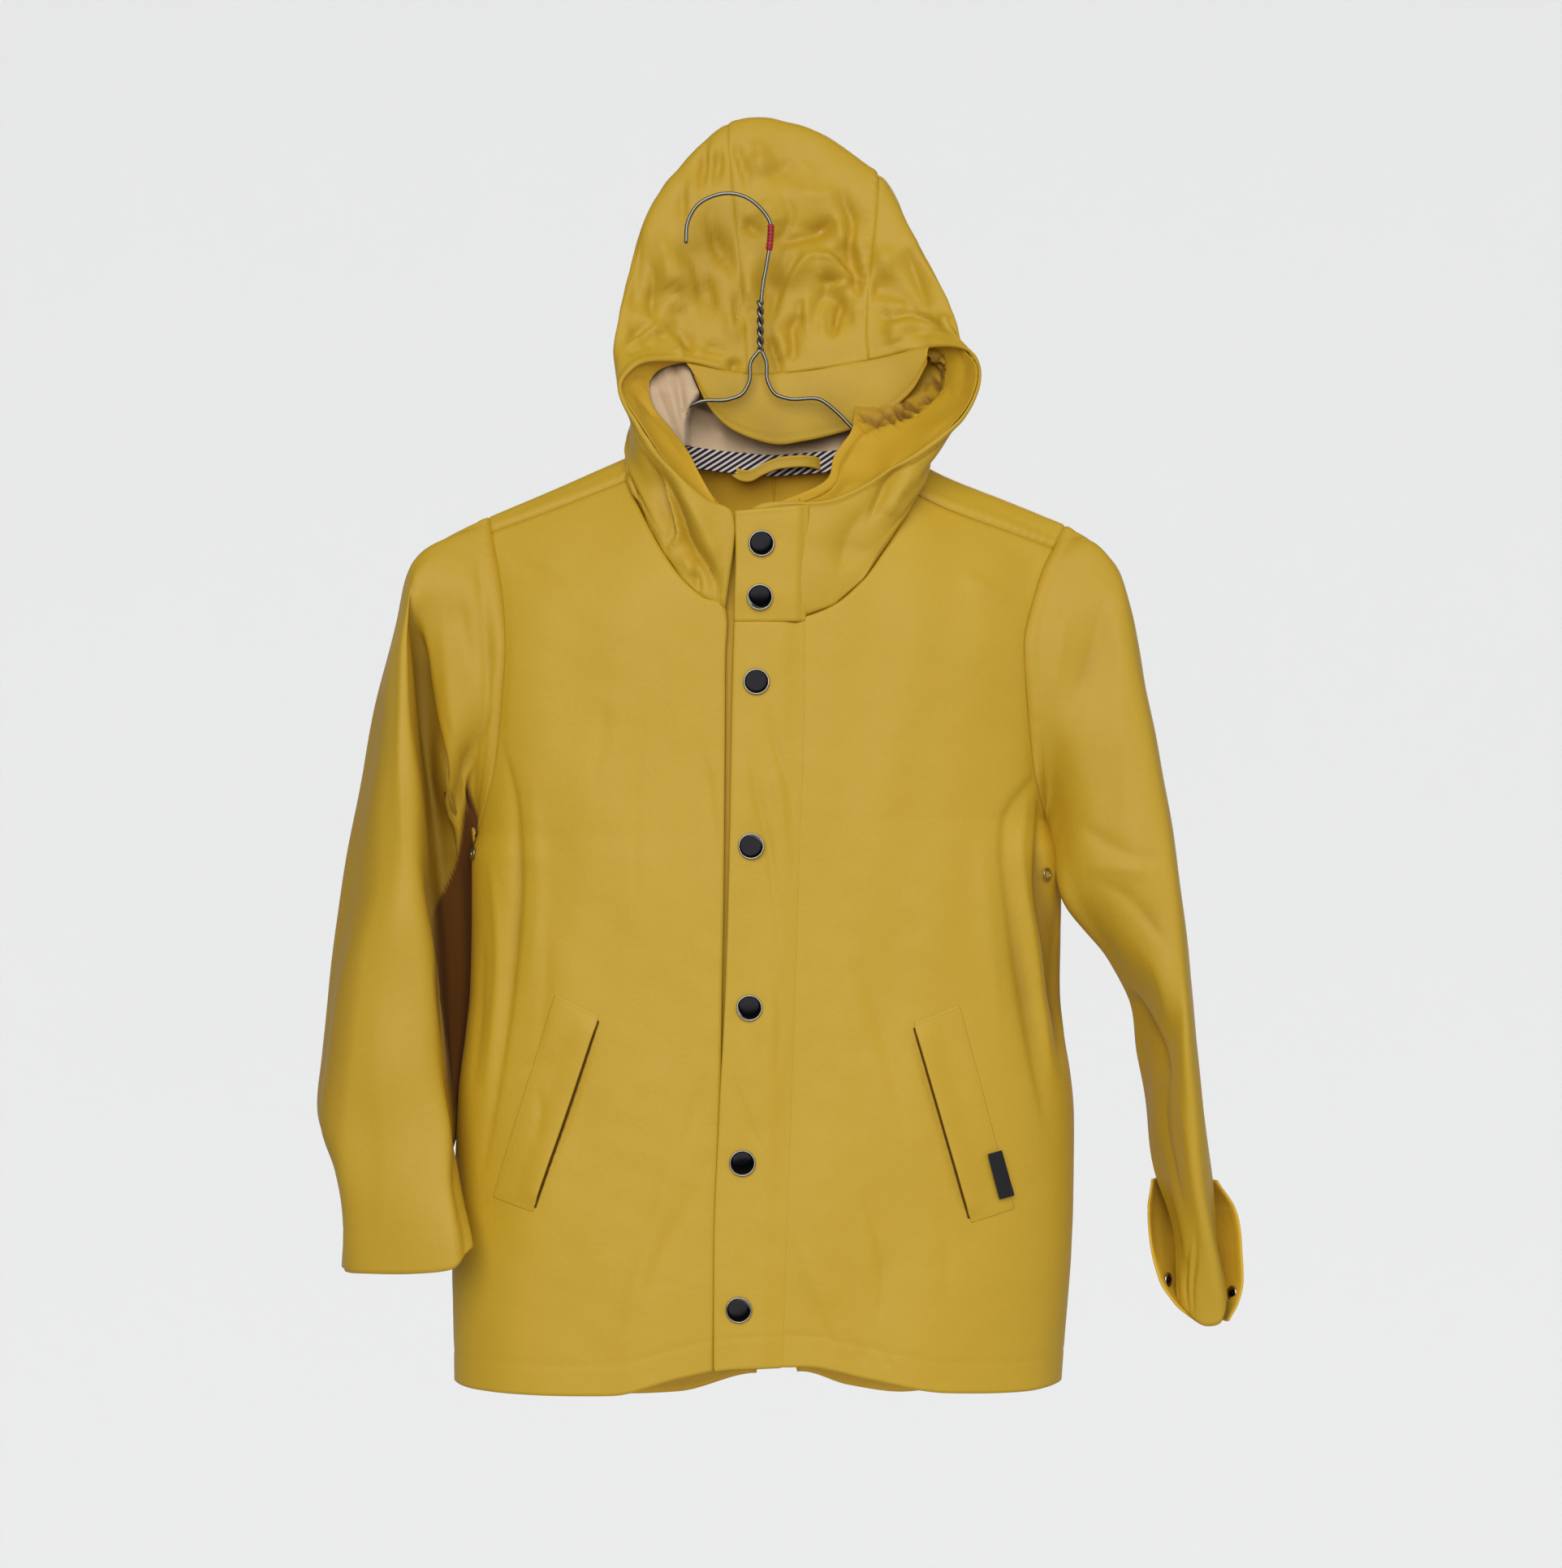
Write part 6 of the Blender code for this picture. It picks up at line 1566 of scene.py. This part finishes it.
def make_snaps():
    for number, (x, z) in enumerate(stacked(SNAPS, "x", "z"), 1):
        if z > PLACKET["z"][0]:
            point, normal = np.array([x, -55.4, z]), np.array([0.0, -1.0, 0.0])
        else:
            point, normal = (a[0, 0] for a in on_front(body_point([[x]], [[z]], False), PLACKET_LIFT))
        rim = turned("snap_%d_rim" % number, point, normal, SNAP_RIM)
        finish_piece(rim, CHROME, "dark_chrome", "snap_%d" % number)
        lean = np.array([0.05 * math.sin(2.1 * number), 0.0, 0.07 * math.cos(1.7 * number)])
        finish_piece(turned("snap_%d_face" % number, point, normal + lean, SNAP_FACE), DARK_CHROME, "dark_chrome")


# ---------------------------------------------------------------- pockets and label

def quad_on_front(corners, lift=0.0, spacing=1.4):
    """A four-sided patch of the front: corners are its left top, left bottom, right top, right bottom."""
    across, down = (a[..., None] for a in np.meshgrid(np.linspace(0, 1, 40), np.linspace(0, 1, 90)))
    a, b, c, d = np.array(corners, float)
    left, right = a * (1 - down) + b * down, c * (1 - down) + d * down
    flat = left * (1 - across) + right * across
    return on_front(even(body_point(flat[..., 0], flat[..., 1], False), spacing), lift)


def make_pockets():
    for side in SIDES:
        slit, far = stacked(WELT[side], "slit_x", "slit_z"), stacked(WELT[side], "back_x", "back_z")
        on_right = side == "right"
        grid, normals = quad_on_front([*far, *slit] if on_right else [*slit, *far])
        top, low, left, right = edge_distances(grid)
        opening, sewn = (right, left) if on_right else (left, right)
        ends = np.minimum(top, low)
        lift = 0.35 + 2.3 * fade(opening, 0, 16) * smooth(ends, 0, 12)
        outer = raised(grid, normals, lift + stitch_groove(np.minimum(sewn, ends), WELT_STITCH, 0.25, 0.9))
        cloth_piece("pocket_welt_" + side, outer, normals, thickness=1.0, round_edge=0.6)
        # A dark cord along the opening stands for the shade in its gap.
        edge, near = (-1, -2) if on_right else (0, 1)
        path = grid[:, edge] + unit(grid[:, edge] - grid[:, near]) * 0.7 + normals[:, edge] * 0.1
        finish_piece(wire("pocket_opening_" + side, path[2:-2], 0.7, 8), POCKET_GAP_SHADE, "coated_yellow")
        sew(outer, normals, sewn, WELT_STITCH)
        sew(outer, normals, top, WELT_STITCH, axis=0)
        sew(outer, normals, low, WELT_STITCH, axis=0)
    grid, normals = quad_on_front(((150, -562), (156.5, -588), (158, -560), (165, -586)), 3.0, spacing=0.8)
    cloth_piece(
        "pocket_label", grid, normals, BLACK, "label_black", rests_on="pocket_welt_left", thickness=0.5, round_edge=0.2
    )


# ---------------------------------------------------------------- inside the neck

def inside_neck(stations, drop, inset):
    nape = hood_grid(stations, np.array([12.0]))[0]
    ahead = np.gradient(nape, axis=0)
    inward = unit(np.stack([ahead[:, 1], -ahead[:, 0], np.zeros(len(nape))], axis=-1))
    return np.concatenate([nape + inward * inset + np.array([0.0, 0.0, drop]), inward], axis=1)


def make_neck():
    stations = np.linspace(3.3, 14.8, 150)
    grid = even(np.array([inside_neck(stations, drop, 3.4) for drop in np.linspace(0.9, -11.0, 12)]), 1.2)
    grid, normals = grid[..., :3], unit(grid[..., 3:])
    top, low, _, _ = edge_distances(grid)
    outer = raised(grid, normals, 0.35 * bell(top, 1.0) + 0.35 * bell(low, 1.0))
    cloth_piece("neck_tape", outer, normals, TAPE, "striped_tape", thickness=0.8)

    y = inside_neck(np.array([8.0, 9.0, 10.0]), 0.0, 3.0)[1, 1] - 1.6
    route = np.array([
        (2, -1.0, -161), (7, -3, -164), (13, -5.5, -164.5), (20, -7.5, -161), (29, -8.5, -157.5),
        (38, -8.5, -156.3), (47, -7.5, -156), (53, -5.0, -157), (56, -1.5, -158),
    ]) + np.array([0.0, y, 0.0])
    path = along(route, np.linspace(0, 1, 60))
    out = unit(np.cross(unit(np.gradient(path, axis=0)), [0.0, 0.0, 1.0]))
    if out[:, 1].mean() > 0:
        out = -out
    widths = np.linspace(3.3, -3.3, 11)[:, None]
    normals = np.array([out] * len(widths))
    grid = path + widths[..., None] * np.array([0.0, 0.0, 1.0])
    outer = raised(grid, normals, np.broadcast_to(0.35 * bell(np.abs(widths) - 2.6, 0.6), grid.shape[:2]))
    cloth_piece("hanging_loop", outer, normals, thickness=0.9, round_edge=0.4)
    sew(outer, normals, edge_distances(outer)[1], LOOP_STITCH, axis=0)


# ---------------------------------------------------------------- small metal

def make_eyelets():
    for side, z, y in (("right", -389, -10.0), ("left", -401, -22.0)):
        left, right, depth = (float(lookup(BODY, "z", name, z)) for name in ("left", "right", "front"))
        reach = (1 - (y / depth) ** 2) ** (1 / FORM_POWER) * (right - left) / 2
        point = np.array([(left + right) / 2 + SIDES[side] * reach, y, z])
        normal = body_normal(point, False)
        point = point + normal * float(body_relief(point[None, None], False)[0, 0])
        ring = torus("eyelet_%s_ring" % side, point + normal * 0.9, normal, EYELET_R, 0.95)
        finish_piece(ring, CHROME, "wire_steel", "eyelet_" + side)


def make_cuff_snaps():
    rim = ((0, 0.0), (4.0, 0.0), (4.5, 0.4), (4.5, 1.0), (4.1, 1.45), (3.5, 1.5), (3.2, 1.2), (0, 1.15))
    stud = ((0, 1.0), (1.7, 1.0), (1.9, 1.3), (1.9, 1.9), (1.4, 2.15), (0, 2.2))
    places = {
        "cuff_snap_inner": ((258.4, -10.0, -640.0), (0.88, -0.48, 0.0)),
        "cuff_snap_outer": ((297.6, -9.0, -648.0), (-0.88, -0.48, 0.0)),
    }
    for name, (centre, axis) in places.items():
        finish_piece(turned(name + "_rim", np.array(centre), axis, rim, 32), CHROME, "dark_chrome", name)
        finish_piece(turned(name + "_stud", np.array(centre), axis, stud, 24), DARK_CHROME, "dark_chrome")


# ---------------------------------------------------------------- hanger

def hanger_line(rows, shares):
    return along(stacked(rows, "x", "y", "z"), shares)


def make_hanger():
    hook = wire("hanger_hook_wire", hanger_line(HOOK, np.linspace(0, 1, 110)), WIRE_R, 16)
    finish_piece(hook, STEEL, "wire_steel", "hanger_hook")
    right, left = (hanger_line(rows, np.linspace(0, 1, 180)) for rows in (ARM_RIGHT, ARM_LEFT))
    loop = np.concatenate([right, np.linspace(right[-1], left[-1], 60)[1:-1], left[::-1]])
    finish_piece(wire("hanger_frame_wire", loop, WIRE_R, 14, closed=True), STEEL, "wire_steel", "hanger_frame")
    share = np.linspace(0, 1, 90)
    for number in (0, 1):
        turn = share * TWIST_TURNS * 2 * math.pi + number * math.pi
        x, y = TWIST_X + WIRE_R * 0.95 * np.cos(turn), WIRE_R * 0.95 * np.sin(turn)
        path = np.stack([x, y, TWIST_TOP + (TWIST_BOTTOM - TWIST_TOP) * share], axis=-1)
        strand = wire("hanger_twist_strand_%d" % (number + 1), path, WIRE_R * 0.98, 14)
        finish_piece(strand, STEEL, "wire_steel", *(["hanger_twist"] if number == 0 else []))
    shares = np.linspace(0.62, 0.74, 40)
    run = shares - shares[0]
    wrinkled = 1.75 + 0.35 * np.abs(np.sin(run * 190)) + 0.12 * np.sin(run * 611)
    finish_piece(wire("hanger_tape_wrap", hanger_line(HOOK, shares), wrinkled, 16), RED, "tape_red", "hanger_tape")


# ---------------------------------------------------------------- the studio

def make_camera():
    data = bpy.data.cameras.new("photo_camera")
    data.sensor_fit = "VERTICAL"
    data.sensor_height = data.sensor_width = 36.0
    data.lens = data.sensor_height * CAMERA_DISTANCE / VIEW_HEIGHT
    camera = bpy.data.objects.new("photo_camera", data)
    camera.location = (VIEW_CENTRE[0] * MM, -CAMERA_DISTANCE * MM, VIEW_CENTRE[2] * MM)
    camera.rotation_euler = (math.radians(90), 0, 0)
    bpy.context.scene.collection.objects.link(camera)
    bpy.context.scene.camera = camera


def make_stage(name, corners, material_name, level, see_through_back=False):
    """A plain surface of the studio; the wall lets light through from behind."""
    look = Look(material_name, 0.9, specular=0.1)
    colour = (level,) * 3
    look.colour(look.blend(look.noise(3.0), tuple(c * 0.992 for c in colour), colour))
    if see_through_back:
        behind = look.node("NewGeometry").outputs["Backfacing"]
        either = look.largest(behind, look.node("LightPath").outputs["Is Shadow Ray"])
        clear = look.node("BsdfTransparent").outputs[0]
        mixed = look.node("MixShader", _0=either, _1=look.shader.outputs[0], _2=clear)
        look.feed(look.tree.nodes["Material Output"].inputs["Surface"], mixed.outputs[0])
    piece = make_mesh(name, corners, [[0, 1, 2, 3]], solid=False)
    piece.data.materials.append(look.material)
    return piece


def sun(name, towards, strength, spread):
    """Even light that shines in one direction; spread is the size of its disc in degrees."""
    data = bpy.data.lights.new(name, "SUN")
    data.energy = strength
    data.angle = math.radians(spread)
    light = bpy.data.objects.new(name, data)
    light.rotation_euler = Vector(towards).to_track_quat("-Z", "Y").to_euler()
    bpy.context.scene.collection.objects.link(light)


def make_studio():
    half, low, wall_half, wall_y, high = 9000, -2600, 6000, 6000, 4000
    floor = make_stage(
        "floor", [(-half, half, low), (-half, -half, low), (half, -half, low), (half, half, low)], "pale_floor", 0.55
    )
    wall = [(-wall_half, wall_y, low), (wall_half, wall_y, low), (wall_half, wall_y, high), (-wall_half, wall_y, high)]
    wall = make_stage("backdrop", wall, "pale_wall", 0.79, see_through_back=True)
    sun("front_light", (0.12, 1.0, -0.48), 2.48, 60)
    sun("behind", (-0.1, -1.0, -0.45), 1.2, 30)
    sun("side_light", (-1.0, 0.35, -0.2), 0.5, 60)
    world = bpy.data.worlds.new("studio")
    world.use_nodes = True
    background = world.node_tree.nodes["Background"]
    background.inputs["Color"].default_value = (0.94, 0.97, 1.0, 1)
    background.inputs["Strength"].default_value = 0.17
    bpy.context.scene.world = world
    bpy.context.scene.view_settings.view_transform = "Standard"


# ---------------------------------------------------------------- the whole

make_camera()
make_panels()
make_sleeves()
make_turn_up()
make_hood()
make_right_facing()
make_left_facing()
make_lining()
make_brim()
make_closing()
make_snaps()
make_pockets()
make_neck()
make_eyelets()
make_cuff_snaps()
make_hanger()
finish_piece(stitches("stitch_thread"), THREAD, "coated_yellow")
make_studio()
